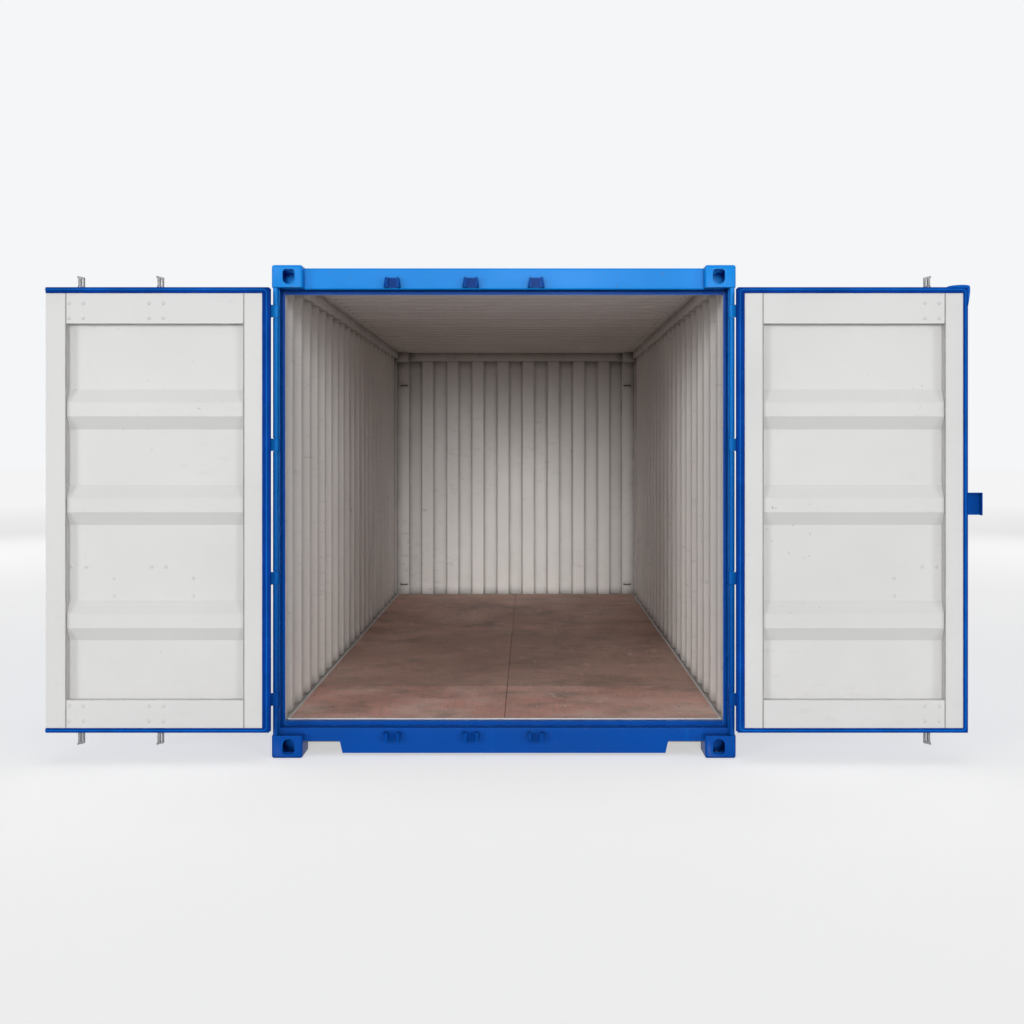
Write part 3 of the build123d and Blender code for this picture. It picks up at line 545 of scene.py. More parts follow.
def galvanised():
    """Zinc-coated steel with spangles, dull patches, pin rust and painted shade in corners."""
    material, tree, shader = new_material("galvanised_steel")
    place = object_place(tree)
    spangle = add_node(tree, "ShaderNodeTexVoronoi", {"Vector": place, "Scale": 160.0}).outputs["Color"]
    grey = add_node(tree, "ShaderNodeRGBToBW", {"Color": spangle}).outputs["Val"]
    zinc = blend(tree, ramp(tree, grey, 0.2, 0.8, 0.0, 0.6), steel_grey, zinc_dark)
    tone = effect(tree, patches, zinc, lumps=6.0, strength=0.3)
    # Painted shade: darker in the corners of the lock gear
    crease_shaded = effect(tree, grime, tone["Colour"], grime=crease_shade_black, reach=0.03, amount=0.9)
    rusty = effect(tree, specks, crease_shaded["Colour"], specks=60.0, amount=0.6)
    dress(tree, shader, rusty["Colour"], ramp(tree, tone["Mask"], 0.0, 1.0, 0.55, 0.36))
    tree.links.new(ramp(tree, rusty["Mask"], 0.0, 0.5, 0.85, 0.2), shader.inputs["Metallic"])
    bump(tree, shader, noise(tree, place, 90.0, 4.0), 0.15)
    return material


def underframe_paint():
    """Black underframe coating with dust and rust."""
    material, tree, shader = new_material("underframe_paint")
    tone = effect(tree, patches, underframe_black, lumps=3.0, strength=0.4)
    dusty = effect(tree, low_dust, tone["Colour"], amount=0.55, height=0.35)
    rusty = effect(tree, specks, dusty["Colour"], specks=24.0, amount=0.8)
    dress(tree, shader, rusty["Colour"], ramp(tree, tone["Mask"], 0.0, 1.0, 0.75, 0.55))
    bump(tree, shader, noise(tree, object_place(tree), 70.0, 5.0), 0.25, 0.003)
    return material


def gasket_rubber(name, colour):
    """Blue oversprayed rubber, dull, with worn pale streaks along it."""
    material, tree, shader = new_material(name)
    tone = effect(tree, patches, colour, lumps=5.0, strength=0.3)
    worn = effect(tree, scuffs, tone["Colour"], scuff=wear_and_highlight_blue, stretch=(14.0, 30.0, 14.0), amount=0.2)
    dress(tree, shader, worn["Colour"], ramp(tree, tone["Mask"], 0.0, 1.0, 0.62, 0.45), 0.03)
    bump(tree, shader, noise(tree, object_place(tree), 140.0, 3.0), 0.15)
    return material


def plywood():
    """Worn floor plywood: each sheet has its own tone, with grain, stains, pale scrapes and grit."""
    material, tree, shader = new_material("plywood")
    place = object_place(tree)
    tone_of_sheet = add_node(tree, "ShaderNodeAttribute", attribute_name="sheet_tone").outputs["Fac"]
    cloud = noise(tree, place, 1.6, 6.0, 0.6)
    redness = calculate(tree, "ADD", tone_of_sheet, ramp(tree, cloud, 0.3, 0.7, -0.25, 0.25))
    wood = blend(tree, redness, ply_brown, ply_red)
    grain = noise(tree, object_place(tree, (60.0, 2.2, 30.0)), 1.0, 6.0, 0.6)
    grained = blend(tree, ramp(tree, grain, 0.45, 0.75, 0.0, 0.35), wood, ply_dark)
    tone = effect(tree, patches, grained, lumps=2.3, strength=0.22)
    stains = ramp(tree, noise(tree, place, 3.2, 7.0, 0.62), 0.46, 0.66, 0.0, 0.85)
    stained = blend(tree, stains, tone["Colour"], ply_dark)
    rubbed_patch = ramp(tree, noise(tree, place, 2.1, 6.0, 0.6), 0.45, 0.68, 0.0, 0.8)
    pale = blend(tree, product(tree, tone_of_sheet, rubbed_patch), stained, ply_pale)
    along = effect(tree, scuffs, pale, scuff=ply_pale, stretch=(16.0, 5.0, 30.0), amount=0.55)
    across = effect(tree, scuffs, along["Colour"], scuff=ply_dark, stretch=(2.0, 20.0, 30.0), amount=0.5)
    gritty = effect(tree, specks, across["Colour"], speck=grit_pale, specks=34.0, amount=1.0)
    dress(tree, shader, gritty["Colour"], ramp(tree, grain, 0.3, 0.7, 0.78, 0.58))
    bump(tree, shader, grain, 0.35)
    return material


def sealant():
    """Grey joint sealant."""
    material, tree, shader = new_material("joint_sealant")
    tone = effect(tree, patches, sealant_grey, lumps=9.0, strength=0.25)
    dress(tree, shader, tone["Colour"], ramp(tree, tone["Mask"], 0.0, 1.0, 0.7, 0.5))
    return material


# The last value of each coat is the strength of its painted shade in folds
wall_coat = (wall_grey, 0.30, 0.16, 1.0)
lining_coat = (lining_white, 0.10, 0.06, 0.12)
finishes = {
    # The blue paints are drawn lighter towards the top as painted sky light
    "blue": blue_paint("blue_paint", blue, top_lit_blue, 0.06),
    "shaded": blue_paint("shaded_blue_paint", shaded_blue, blue, 0.04),
    # Painted shade: the keepers' paint is a darker copy of the blue
    "shaded_keeper": blue_paint("keeper_shaded_paint", keeper_shade_blue, keeper_shade_blue, 0.03),
    "wall": sheet_paint("wall_paint", *wall_coat),
    "lining": sheet_paint("door_lining", *lining_coat),
    "frame": two_tone("frame_two_tone_paint", cargo_side, *wall_coat),
    "door_edge": two_tone("door_edge_two_tone_paint", lining_side, *lining_coat),
    "underframe": underframe_paint(),
    "steel": galvanised(),
    "rubber": gasket_rubber("gasket_rubber", rubber_blue),
    # Painted highlight: the lighter copy of the gasket rubber
    "flap": gasket_rubber("gasket_lit_rubber", lit_gasket_blue),
    "ply": plywood(),
    "sealant": sealant(),
}


# Finishes on the solids

def coat(node, *names, rule=None):
    """Gives a solid its finishes; rule picks one for each face from its normal and centre."""
    mesh = nodes[node].data
    mesh.materials.clear()
    for name in names:
        mesh.materials.append(finishes[name])
    for face in mesh.polygons:
        face.material_index = int(rule(face.normal, face.center)) if rule else 0


def turned(*ways, least=0.5):
    """Rule that picks the faces turned one of these ways."""
    return lambda normal, centre: any(normal.dot(Vector(way)) > least for way in ways)


def casting_rule(node, *inner_ways):
    """Rule for a casting: shaded in its hollow, two-tone on the faces that the cargo space sees."""
    low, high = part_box(node)
    inner_face = turned(*inner_ways)

    def rule(normal, centre):
        depths = [min(centre[axis] - low[axis], high[axis] - centre[axis]) for axis in range(3)]
        if min(depths) > casting_skin:
            return 2
        return inner_face(normal, centre)
    return rule


def door_end_rule(inward, front):
    """Rule for the door frame: blue with painted top light in front, shaded in the rebate, two-tone behind
    the lip.
    """
    rebate_face = turned(inward, to_doors)
    inner_face = turned(inward, to_front)

    def rule(normal, centre):
        depth = centre.y - door_face
        if depth > lip_depth:
            return inner_face(normal, centre)
        return 2 if depth > front and rebate_face(normal, centre) else 0
    return rule


def coat_box():
    """Blue outside, pale grey inside."""
    for name, side in sides.items():
        inward = (-side, 0, 0)
        inner_ways = {
            f"rear_top_casting_{name}": (to_front,),
            f"rear_bottom_casting_{name}": (to_front,),
            f"front_top_casting_{name}": (to_doors, down, inward),
            f"front_bottom_casting_{name}": (),
        }
        for casting, ways in inner_ways.items():
            coat(casting, "blue", "frame", "shaded", rule=casting_rule(casting, *ways))
        coat(f"rear_post_{name}", "blue", "frame", "shaded", rule=door_end_rule(inward, post_front))
        coat(f"front_post_{name}", "blue", "frame", rule=turned(to_doors, inward))
        coat(f"top_side_rail_{name}", "blue", "frame", rule=turned(inward, down))
        coat(f"bottom_side_rail_{name}", "blue", "frame", rule=turned(up))
        coat(f"side_wall_{name}", "blue", "wall", rule=turned(inward, least=0.05))
        coat(f"hinge_lugs_{name}", "blue")
    coat("door_header", "blue", "frame", "shaded", rule=door_end_rule(down, header_front))
    coat("door_sill", "blue")
    # The cam keepers get the darker blue of painted shade
    coat("header_cam_keepers", "shaded_keeper")
    coat("sill_cam_keepers", "shaded_keeper")
    coat("front_top_rail", "blue", "frame", rule=turned(to_doors, down))
    coat("front_bottom_rail", "blue", "frame", rule=turned(up))
    coat("front_wall", "blue", "wall", rule=turned(to_doors, least=0.0))
    coat("roof", "blue", "wall", rule=turned(down, least=0.0))
    coat("floor", "ply")
    coat("cross_members", "underframe")
    coat("forklift_pockets", "underframe")


def stile_rule(rails):
    """Rule for a door's stiles: lining in front, two-tone between the stiles."""
    def rule(normal, centre):
        if normal.y < -0.5:
            return 1
        between = rails[0].x - stile_margin < centre.x < rails[1].x + stile_margin
        return 2 if between else 0
    return rule


def rail_rule(rails):
    """Rule for a door's rails: lining in front and between the rails."""
    def rule(normal, centre):
        between = rails[0].z + rail_margin < centre.z < rails[1].z - rail_margin
        return normal.y < -0.5 or between and normal.y < 0.5
    return rule


def coat_doors():
    """Blue outside, white lining inside, zinc-coated lock gear."""
    for name in sides:
        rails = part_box(f"{name}_door_rails")
        coat(f"{name}_door_stiles", "blue", "lining", "door_edge", rule=stile_rule(rails))
        coat(f"{name}_door_rails", "blue", "lining", rule=rail_rule(rails))
        coat(f"{name}_door_panel", "blue", "lining", rule=turned(to_doors, least=0.0))
        coat(f"{name}_door_gasket", "rubber")
        coat(f"{name}_hinge_blades", "blue")
        coat(f"{name}_rod_guides", "steel")
        coat(f"{name}_handle_retainers", "steel")
        for lock in locks[name]:
            coat(f"{lock}_lock_rod", "steel")
            coat(f"{lock}_handle", "steel")
    coat("lock_box", "shaded")


coat_box()
coat_doors()


# Rounded edges on the heavy pieces

def smooth_faces(mesh):
    """Smooth shading on all faces."""
    for face in mesh.polygons:
        face.use_smooth = True


def weld(piece):
    """Smooth faces, with a solid's loose triangles joined."""
    smooth_faces(piece.data)
    joint = piece.modifiers.new("weld", "WELD")
    joint.merge_threshold = weld_gap


def soften(node, width, least_angle=crisp_angle):
    """Small rounded edges on a solid."""
    piece = nodes[node]
    weld(piece)
    flat = piece.modifiers.new("flat", "DECIMATE")
    flat.decimate_type = "DISSOLVE"
    flat.angle_limit = math.radians(0.5)
    flat.delimit = {"MATERIAL"}
    edge = piece.modifiers.new("edge", "BEVEL")
    edge.width = width
    edge.segments = 2
    edge.limit_method = "ANGLE"
    edge.angle_limit = math.radians(least_angle)
    edge.use_clamp_overlap = True
    even = piece.modifiers.new("even", "WEIGHTED_NORMAL")
    even.keep_sharp = True


def smooth_round(node, angle=32):
    """Smooth shading on a solid's round faces; its edges stay crisp."""
    piece = nodes[node]
    weld(piece)
    split = piece.modifiers.new("crisp", "EDGE_SPLIT")
    split.split_angle = math.radians(angle)


def soften_pieces():
    """Rounded edges on frame and doors, smooth round faces on castings and lock gear."""
    for name in sides:
        for piece in ("rear_post", "front_post", "top_side_rail", "bottom_side_rail", "hinge_lugs"):
            soften(f"{piece}_{name}", frame_edge)
        for piece in ("door_stiles", "door_rails", "handle_retainers", "hinge_blades"):
            soften(f"{name}_{piece}", leaf_edge)
        soften(f"{name}_door_panel", panel_bend, bend_angle)
        soften(f"{name}_door_gasket", frame_edge)
        smooth_round(f"{name}_rod_guides")
        for end in ("rear", "front"):
            for row in ("top", "bottom"):
                smooth_round(f"{end}_{row}_casting_{name}")
        for lock in locks[name]:
            smooth_round(f"{lock}_lock_rod")
            soften(f"{lock}_handle", leaf_edge)
    for node in ("door_header", "door_sill", "header_cam_keepers", "sill_cam_keepers", "lock_box"):
        smooth_round(node)
    for node in ("front_top_rail", "front_bottom_rail", "cross_members", "forklift_pockets"):
        soften(node, leaf_edge)
    soften("roof", roof_bend, bend_angle)


soften_pieces()


# Geometry Nodes pieces

def geometry_tree(name, inputs):
    """A geometry tree with a geometry in and out, and named inputs."""
    return new_tree(name, "GeometryNodeTree", {"Geometry": geometry_socket, **inputs},
                    {"Geometry": geometry_socket})


def shape(tree, kind, inputs, **settings):
    """Geometry socket of a node that makes or changes a shape."""
    return add_node(tree, "GeometryNode" + kind, inputs, **settings).outputs[0]


def joined(tree, *parts):
    """Geometry socket of several shapes in one."""
    node = add_node(tree, "GeometryNodeJoinGeometry")
    for part in parts:
        tree.links.new(part, node.inputs["Geometry"])
    return node.outputs["Geometry"]


def number(tree, operation, first, second=0.0):
    """Value socket of a calculation without limits."""
    return add_node(tree, "ShaderNodeMath", {0: first, 1: second}, operation=operation).outputs[0]


def scaled(tree, vector, factor):
    """Vector socket of a vector times a number."""
    node = add_node(tree, "ShaderNodeVectorMath", {0: vector, "Scale": factor}, operation="SCALE")
    return node.outputs["Vector"]


def added(tree, first, second):
    """Vector socket of two vectors added."""
    node = add_node(tree, "ShaderNodeVectorMath", {0: first, 1: second}, operation="ADD")
    return node.outputs["Vector"]


def finish_tree(tree, given, out, geometry):
    """Ends a tree with realized, coloured geometry."""
    real = shape(tree, "RealizeInstances", {"Geometry": geometry})
    coloured = shape(tree, "SetMaterial", {"Geometry": real, "Material": given["Finish"]})
    tree.links.new(coloured, out.inputs["Geometry"])
    return tree


def make_heads():
    """Low domed fastener heads on points, all turned one way."""
    tree, given, out = geometry_tree("fastener_heads", {
        "Radius": 0.01, "Height": 0.005, "Sides": 12, "Facing": (0.0, 0.0, 1.0), "Finish": finish_socket})
    shoulder = number(tree, "MULTIPLY", given["Radius"], 0.72)
    crown = number(tree, "MULTIPLY", given["Radius"], 0.25)
    half = number(tree, "MULTIPLY", given["Height"], 0.5)
    base = shape(tree, "MeshCone", {
        "Vertices": given["Sides"], "Radius Top": shoulder, "Radius Bottom": given["Radius"], "Depth": half})
    dome = shape(tree, "MeshCone", {
        "Vertices": given["Sides"], "Radius Top": crown, "Radius Bottom": shoulder, "Depth": half})
    lift = add_node(tree, "ShaderNodeCombineXYZ", {"Z": half}).outputs["Vector"]
    raised = shape(tree, "Transform", {"Geometry": dome, "Translation": lift})
    turn = add_node(tree, "FunctionNodeAlignRotationToVector", {"Vector": given["Facing"]}, axis="Z")
    placed = shape(tree, "InstanceOnPoints", {
        "Points": given["Geometry"], "Instance": joined(tree, base, raised),
        "Rotation": turn.outputs["Rotation"]})
    return finish_tree(tree, given, out, placed)


def make_bead():
    """A round bead along edges, with rounded corners and a slightly uneven surface."""
    tree, given, out = geometry_tree("bead_line", {
        "Radius": 0.003, "Corner": 0.01, "Ripple": 0.0, "Finish": finish_socket})
    path = shape(tree, "MeshToCurve", {"Mesh": given["Geometry"]})
    rounded = shape(tree, "FilletCurve", {
        "Curve": path, "Radius": given["Corner"], "Limit Radius": True, "Count": 5}, mode="POLY")
    section = shape(tree, "CurvePrimitiveCircle", {"Resolution": 8, "Radius": given["Radius"]}, mode="RADIUS")
    swept = shape(tree, "CurveToMesh", {"Curve": rounded, "Profile Curve": section, "Fill Caps": True})
    place = add_node(tree, "GeometryNodeInputPosition").outputs["Position"]
    lumps = noise(tree, place, 60.0, 2.0, 0.5)
    outward = add_node(tree, "GeometryNodeInputNormal").outputs["Normal"]
    shift = scaled(tree, outward, number(tree, "MULTIPLY", lumps, given["Ripple"]))
    uneven = shape(tree, "SetPosition", {"Geometry": swept, "Offset": shift})
    return finish_tree(tree, given, out, uneven)


def make_screw_rows():
    """Rows of small countersunk screw heads on a flat field, slightly out of line."""
    tree, given, out = geometry_tree("screw_rows", {
        "Across": 1.0, "Along": 1.0, "Columns": 8, "Rows": 8, "Radius": 0.005, "Stray": 0.01,
        "Centre": (0.0, 0.0, 0.0), "Seed": random_seed, "Finish": finish_socket})
    grid = shape(tree, "MeshGrid", {
        "Size X": given["Across"], "Size Y": given["Along"], "Vertices X": given["Columns"],
        "Vertices Y": given["Rows"]})
    reach = add_node(tree, "ShaderNodeCombineXYZ", {"X": given["Stray"], "Y": given["Stray"]})
    ahead = reach.outputs["Vector"]
    stray = add_node(tree, "FunctionNodeRandomValue", {
        0: scaled(tree, ahead, -1.0), 1: ahead, "Seed": given["Seed"]}, data_type="FLOAT_VECTOR").outputs[0]
    moved = shape(tree, "SetPosition", {"Geometry": grid, "Offset": stray})
    placed = shape(tree, "Transform", {"Geometry": moved, "Translation": given["Centre"]})
    head = shape(tree, "MeshCone", {
        "Vertices": 10, "Radius Top": screw_top, "Radius Bottom": given["Radius"], "Depth": screw_rise})
    heads_on_rows = shape(tree, "InstanceOnPoints", {"Points": placed, "Instance": head})
    return finish_tree(tree, given, out, heads_on_rows)


def make_corrugation():
    """An upright corrugated sheet: a bent line along a wall, raised to its height and given its thickness."""
    tree, given, out = geometry_tree("corrugated_sheet", {
        "Run": 5.0, "Rise": 2.0, "Waves": 20, "Outer Flat": 0.07, "Slope": 0.07, "Inner Flat": 0.07,
        "Depth": 0.036, "Sheet": 0.002, "Bend": 0.012, "Start": (0.0, 0.0, 0.0), "Along": (0.0, 1.0, 0.0),
        "Inward": (1.0, 0.0, 0.0), "Finish": finish_socket, "Inner Finish": finish_socket})

    def value(operation, first, second=0.0):
        return number(tree, operation, first, second)

    flats = value("ADD", given["Outer Flat"], given["Inner Flat"])
    pitch = value("ADD", flats, value("MULTIPLY", given["Slope"], 2.0))
    waves_run = value("ADD", value("MULTIPLY", given["Waves"], pitch), given["Outer Flat"])
    margin = value("MULTIPLY", value("SUBTRACT", given["Run"], waves_run), 0.5)
    last = value("ADD", value("MULTIPLY", given["Waves"], 4.0), 1.0)
    count = add_node(tree, "FunctionNodeFloatToInt", {"Float": value("ADD", last, 1.0)}).outputs[0]
    line = shape(tree, "MeshLine", {"Count": count}, mode="OFFSET")
    index = add_node(tree, "GeometryNodeInputIndex").outputs["Index"]
    bend_index = value("SUBTRACT", index, 1.0)
    wave = value("FLOOR", value("DIVIDE", bend_index, 4.0))
    corner = value("SUBTRACT", bend_index, value("MULTIPLY", wave, 4.0))
    past_first = value("GREATER_THAN", corner, 0.5)
    past_second = value("GREATER_THAN", corner, 1.5)
    past_third = value("GREATER_THAN", corner, 2.5)
    slopes = value("MULTIPLY", value("ADD", past_first, past_third), given["Slope"])
    corner_run = value("ADD", slopes, value("MULTIPLY", past_second, given["Inner Flat"]))
    wave_start = value("ADD", value("ADD", margin, given["Outer Flat"]), value("MULTIPLY", wave, pitch))
    at_start = value("LESS_THAN", index, 0.5)
    at_end = value("GREATER_THAN", index, value("SUBTRACT", last, 0.5))
    end_shift = value("MULTIPLY", value("SUBTRACT", at_end, at_start), margin)
    run = value("ADD", value("ADD", wave_start, corner_run), end_shift)
    depth = value("MULTIPLY", value("SUBTRACT", past_first, past_third), given["Depth"])
    shift = added(tree, scaled(tree, given["Along"], run), scaled(tree, given["Inward"], depth))
    bent = shape(tree, "SetPosition", {"Geometry": line, "Position": added(tree, given["Start"], shift)})
    path = shape(tree, "MeshToCurve", {"Mesh": bent})
    rounded = shape(tree, "FilletCurve", {
        "Curve": path, "Radius": given["Bend"], "Limit Radius": True, "Count": 3}, mode="POLY")
    foot = shape(tree, "CurveToMesh", {"Curve": rounded})
    rise = add_node(tree, "ShaderNodeCombineXYZ", {"Z": given["Rise"]}).outputs["Vector"]
    strip = shape(tree, "ExtrudeMesh", {"Mesh": foot, "Offset": rise}, mode="EDGES")
    inner = add_node(tree, "GeometryNodeExtrudeMesh", {
        "Mesh": strip, "Offset": given["Inward"], "Offset Scale": given["Sheet"], "Individual": False},
        mode="FACES")
    shell = joined(tree, inner.outputs["Mesh"], shape(tree, "FlipFaces", {"Mesh": strip}))
    closed = shape(tree, "MergeByDistance", {"Geometry": shell, "Distance": merge_gap})
    real = shape(tree, "RealizeInstances", {"Geometry": closed})
    painted = shape(tree, "SetMaterial", {"Geometry": real, "Material": given["Finish"]})
    lined = shape(tree, "SetMaterial", {
        "Geometry": painted, "Selection": inner.outputs["Top"], "Material": given["Inner Finish"]})
    tree.links.new(lined, out.inputs["Geometry"])
    return tree


def place_object(name, data):
    """A new object in the scene."""
    made = bpy.data.objects.new(name, data)
    bpy.context.scene.collection.objects.link(made)
    return made


def place_mesh(name, points, faces, material):
    """A new object with a mesh of points and faces."""
    mesh = bpy.data.meshes.new(name)
    mesh.from_pydata(points, [], faces)
    mesh.materials.append(material)
    return place_object(name, mesh)


def grow(name, tree, points, edges, values, body):
    """Runs a geometry tree on points and edges, and rides the plain mesh it gives on a body."""
    seed_mesh = bpy.data.meshes.new(name + "_points")
    seed_mesh.from_pydata(points, edges, [])
    source = place_object(name + "_source", seed_mesh)
    modifier = source.modifiers.new("tree", "NODES")
    modifier.node_group = tree
    for item in tree.interface.items_tree:
        if item.item_type == "SOCKET" and item.in_out == "INPUT" and item.name in values:
            modifier[item.identifier] = values[item.name]
    graph = bpy.context.evaluated_depsgraph_get()
    mesh = bpy.data.meshes.new_from_object(source.evaluated_get(graph))
    bpy.data.objects.remove(source)
    mesh.name = name
    piece = place_object(name, mesh)
    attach(piece, body)
    return piece


heads = make_heads()
bead = make_bead()
screw_rows = make_screw_rows()
corrugation = make_corrugation()


def draw_bead(name, points, edges, finish, body, radius, corner=0.0, ripple=0.0):
    """A round bead along a line."""
    grow(name, bead, points, edges, {
        "Radius": radius, "Corner": corner, "Ripple": ripple, "Finish": finishes[finish]}, body)


def bolt_places(rod, hinge_way):
    """Places (x, z) of the bolts behind one lock rod: on the rails, and on the panel."""
    low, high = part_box(rod)
    x = (low.x + high.x) / 2
    on_rails = []
    for row in ("top", "bottom"):
        for across in (-guide_bolt_across, guide_bolt_across):
            for rise in (-guide_bolt_rise, guide_bolt_rise):
                on_rails.append((x + across, guide_heights[row] + rise))
    on_panel = [(x + across, guide_heights["middle"]) for across in (-guide_bolt_across, guide_bolt_across)]
    retainer = x + hinge_way * retainer_offset
    on_panel += [(retainer, handle_height + rise) for rise in (-retainer_bolt_rise, retainer_bolt_rise)]
    return on_rails, on_panel


def fit_bolts():
    """Domed bolt heads on the lining and nuts on the lock gear outside."""
    for name, side in sides.items():
        inside = []
        outside = []
        sheet_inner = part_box(f"{name}_door_panel")[1].y - sheet
        gear_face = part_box(f"{name}_door_stiles")[1].y + guide_base
        for lock in locks[name]:
            on_rails, on_panel = bolt_places(f"{lock}_lock_rod", -side)
            inside += [(x, lining_face, z) for x, z in on_rails]
            inside += [(x, sheet_inner, z) for x, z in on_panel]
            outside += [(x, gear_face, z) for x, z in on_rails + on_panel]
        grow(f"{name}_door_bolts", heads, inside, [], {
            "Radius": bolt_radius, "Height": bolt_height, "Sides": 14, "Facing": (0.0, -1.0, 0.0),
            "Finish": finishes["lining"]}, f"{name}_door")
        grow(f"{name}_gear_nuts", heads, outside, [], {
            "Radius": nut_radius, "Height": nut_height, "Sides": 6, "Facing": (0.0, 1.0, 0.0),
            "Finish": finishes["steel"]}, f"{name}_door")


def seal_doors():
    """Sealant lines where the lining's rails and panel meet the stiles."""
    for name in sides:
        low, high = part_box(f"{name}_door_rails")
        points = [(x, lining_face, z) for x in (low.x, high.x) for z in (low.z, high.z)]
        draw_bead(f"{name}_door_sealant", points, [(0, 1), (2, 3)], "sealant", f"{name}_door",
                  sealant_radius, ripple=0.001)


def lay_floor():
    """Plywood sheets in two rows, with screws along the cross members."""
    seams = [floor_low.y] + [door_face + seam for seam in sheet_seams] + [floor_high.y]
    columns = ((floor_low.x, middle_x), (middle_x, floor_high.x))
    quads = ((3, 2, 1, 0), (4, 5, 6, 7), (0, 1, 5, 4), (1, 2, 6, 5), (2, 3, 7, 6), (3, 0, 4, 7))
    points, faces = [], []
    half_gap = sheet_gap / 2
    for near, far in zip(seams, seams[1:]):
        for left, right in columns:
            start = len(points)
            for z in (floor_low.z, floor_high.z):
                points += [(left + half_gap, near + half_gap, z), (right - half_gap, near + half_gap, z),
                           (right - half_gap, far - half_gap, z), (left + half_gap, far - half_gap, z)]
            faces += [tuple(start + index for index in quad) for quad in quads]
    sheets = place_mesh("plywood_sheets", points, faces, finishes["ply"])
    tones = sheets.data.attributes.new("sheet_tone", "FLOAT", "FACE")
    for index, tone in enumerate(tones.data):
        tone.value = sheet_tones[index // len(quads)]
    edge = sheets.modifiers.new("edge", "BEVEL")
    edge.width = sheet_edge
    edge.segments = 2
    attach(sheets, "container")
    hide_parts("floor")
    across = floor_high.x - floor_low.x - 2 * screw_margin
    along = floor_high.y - floor_low.y - 2 * screw_margin
    grow("floor_screws", screw_rows, [], [], {
        "Across": across, "Along": along, "Columns": int(across / screw_column_step) + 1,
        "Rows": int(along / screw_row_step) + 1, "Radius": screw_radius, "Stray": screw_stray,
        "Centre": (middle_x, (floor_low.y + floor_high.y) / 2, floor_high.z), "Seed": random_seed,
        "Finish": finishes["steel"]}, "container")


def caulk_floor():
    """Pale sealant along the floor's edges, at both walls and at the threshold."""
    z = floor_high.z - caulk_sink
    near, far = floor_low.y, floor_high.y
    left, right = floor_low.x, floor_high.x
    points = [(left, far, z), (left, near, z), (right, near, z), (right, far, z)]
    draw_bead("floor_caulk", points, [(0, 1), (1, 2), (2, 3)], "lining", "container",
              caulk_radius, caulk_corner, ripple=0.003)


def corrugate(node, start, along, inward, run, wave, bend):
    """Replaces a wall by a corrugated sheet with rounded bends."""
    low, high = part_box(node)
    values = {
        **wave, "Run": run, "Rise": high.z - low.z, "Waves": wave_layout(run, wave)[1], "Sheet": sheet,
        "Bend": bend, "Start": start, "Along": along, "Inward": inward,
        "Finish": finishes["blue"], "Inner Finish": finishes["wall"]}
    wall = grow(f"{node}_sheet", corrugation, [], [], values, "container")
    smooth_faces(wall.data)
    wall.data.set_sharp_from_angle(angle=math.radians(crisp_angle))
    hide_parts(node)


def raise_walls():
    """The two side walls and the front wall."""
    for name, side in sides.items():
        low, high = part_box(f"side_wall_{name}")
        outer_x = low.x if side < 0 else high.x
        corrugate(f"side_wall_{name}", (outer_x, low.y, low.z), (0.0, 1.0, 0.0), (-float(side), 0.0, 0.0),
                  high.y - low.y, side_wave, side_bend)
    low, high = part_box("front_wall")
    corrugate("front_wall", (low.x, high.y, low.z), (1.0, 0.0, 0.0), (0.0, -1.0, 0.0),
              high.x - low.x, front_wave, front_bend)


def ridge_gaskets():
    """Raised ridges round both door gaskets, open at the left one's free edge, and a lip at the hinges."""
    for name, side in sides.items():
        low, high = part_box(f"{name}_door_gasket")
        bottom, top = low.z + ridge_inset, high.z - ridge_inset
        left, right = low.x + ridge_inset, high.x - ridge_inset
        if name == "left":
            points = [(low.x, top), (right, top), (right, bottom), (low.x, bottom)]
            edges = [(0, 1), (1, 2), (2, 3)]
        else:
            points = [(left, bottom), (right, bottom), (right, top), (left, top)]
            edges = [(0, 1), (1, 2), (2, 3), (3, 0)]
        # The ridges are drawn in the lighter rubber, a painted highlight
        draw_bead(f"{name}_gasket_ridge", [(x, low.y, z) for x, z in points], edges, "flap", f"{name}_door",
                  ridge_radius, ridge_corner, ripple=0.0012)
        hinge_edge = high.x if side < 0 else low.x
        ends = (low.z + lip_radius, high.z - lip_radius)
        lip = [(hinge_edge, low.y + lip_radius, z) for z in ends]
        draw_bead(f"{name}_gasket_lip", lip, [(0, 1)], "rubber", f"{name}_door", lip_radius, ripple=0.0015)


def peel_gasket_corner():
    """The lip of the right gasket that has come away and flares out at its top free corner."""
    low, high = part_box("right_door_gasket")
    corner = Vector((high.x, low.y, high.z))
    back = Vector((0, flap_thickness, 0))
    points, faces = [], []
    for index in range(flap_steps + 1):
        share = index / flap_steps
        run = share * (flap_top + flap_side) - flap_top
        base = corner + Vector((min(run, 0), 0, -max(run, 0)))
        lean = min(max((run + flap_round) / (2 * flap_round), 0), 1) * math.pi / 2
        outward = Vector((math.sin(lean), 0, math.cos(lean)))
        flare = math.sin(math.pi * share ** flap_skew) ** flap_fullness
        forward = Vector((0, flap_thickness - flap_lean * flare, 0))
        tip = base + outward * (flap_seat + flap_reach * flare) + forward
        root = base - outward * flap_root + Vector((0, flap_sink, 0))
        points += [root, tip, tip + back, root + back]
        if index:
            start = 4 * (index - 1)
            for edge in range(4):
                following = (edge + 1) % 4
                faces.append((start + edge, start + 4 + edge, start + 4 + following, start + following))
    faces += [(0, 1, 2, 3), tuple(4 * flap_steps + edge for edge in (3, 2, 1, 0))]
    # The flap is drawn in the lighter rubber, a painted highlight
    flap = place_mesh("gasket_corner_flap", points, faces, finishes["flap"])
    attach(flap, "right_door")


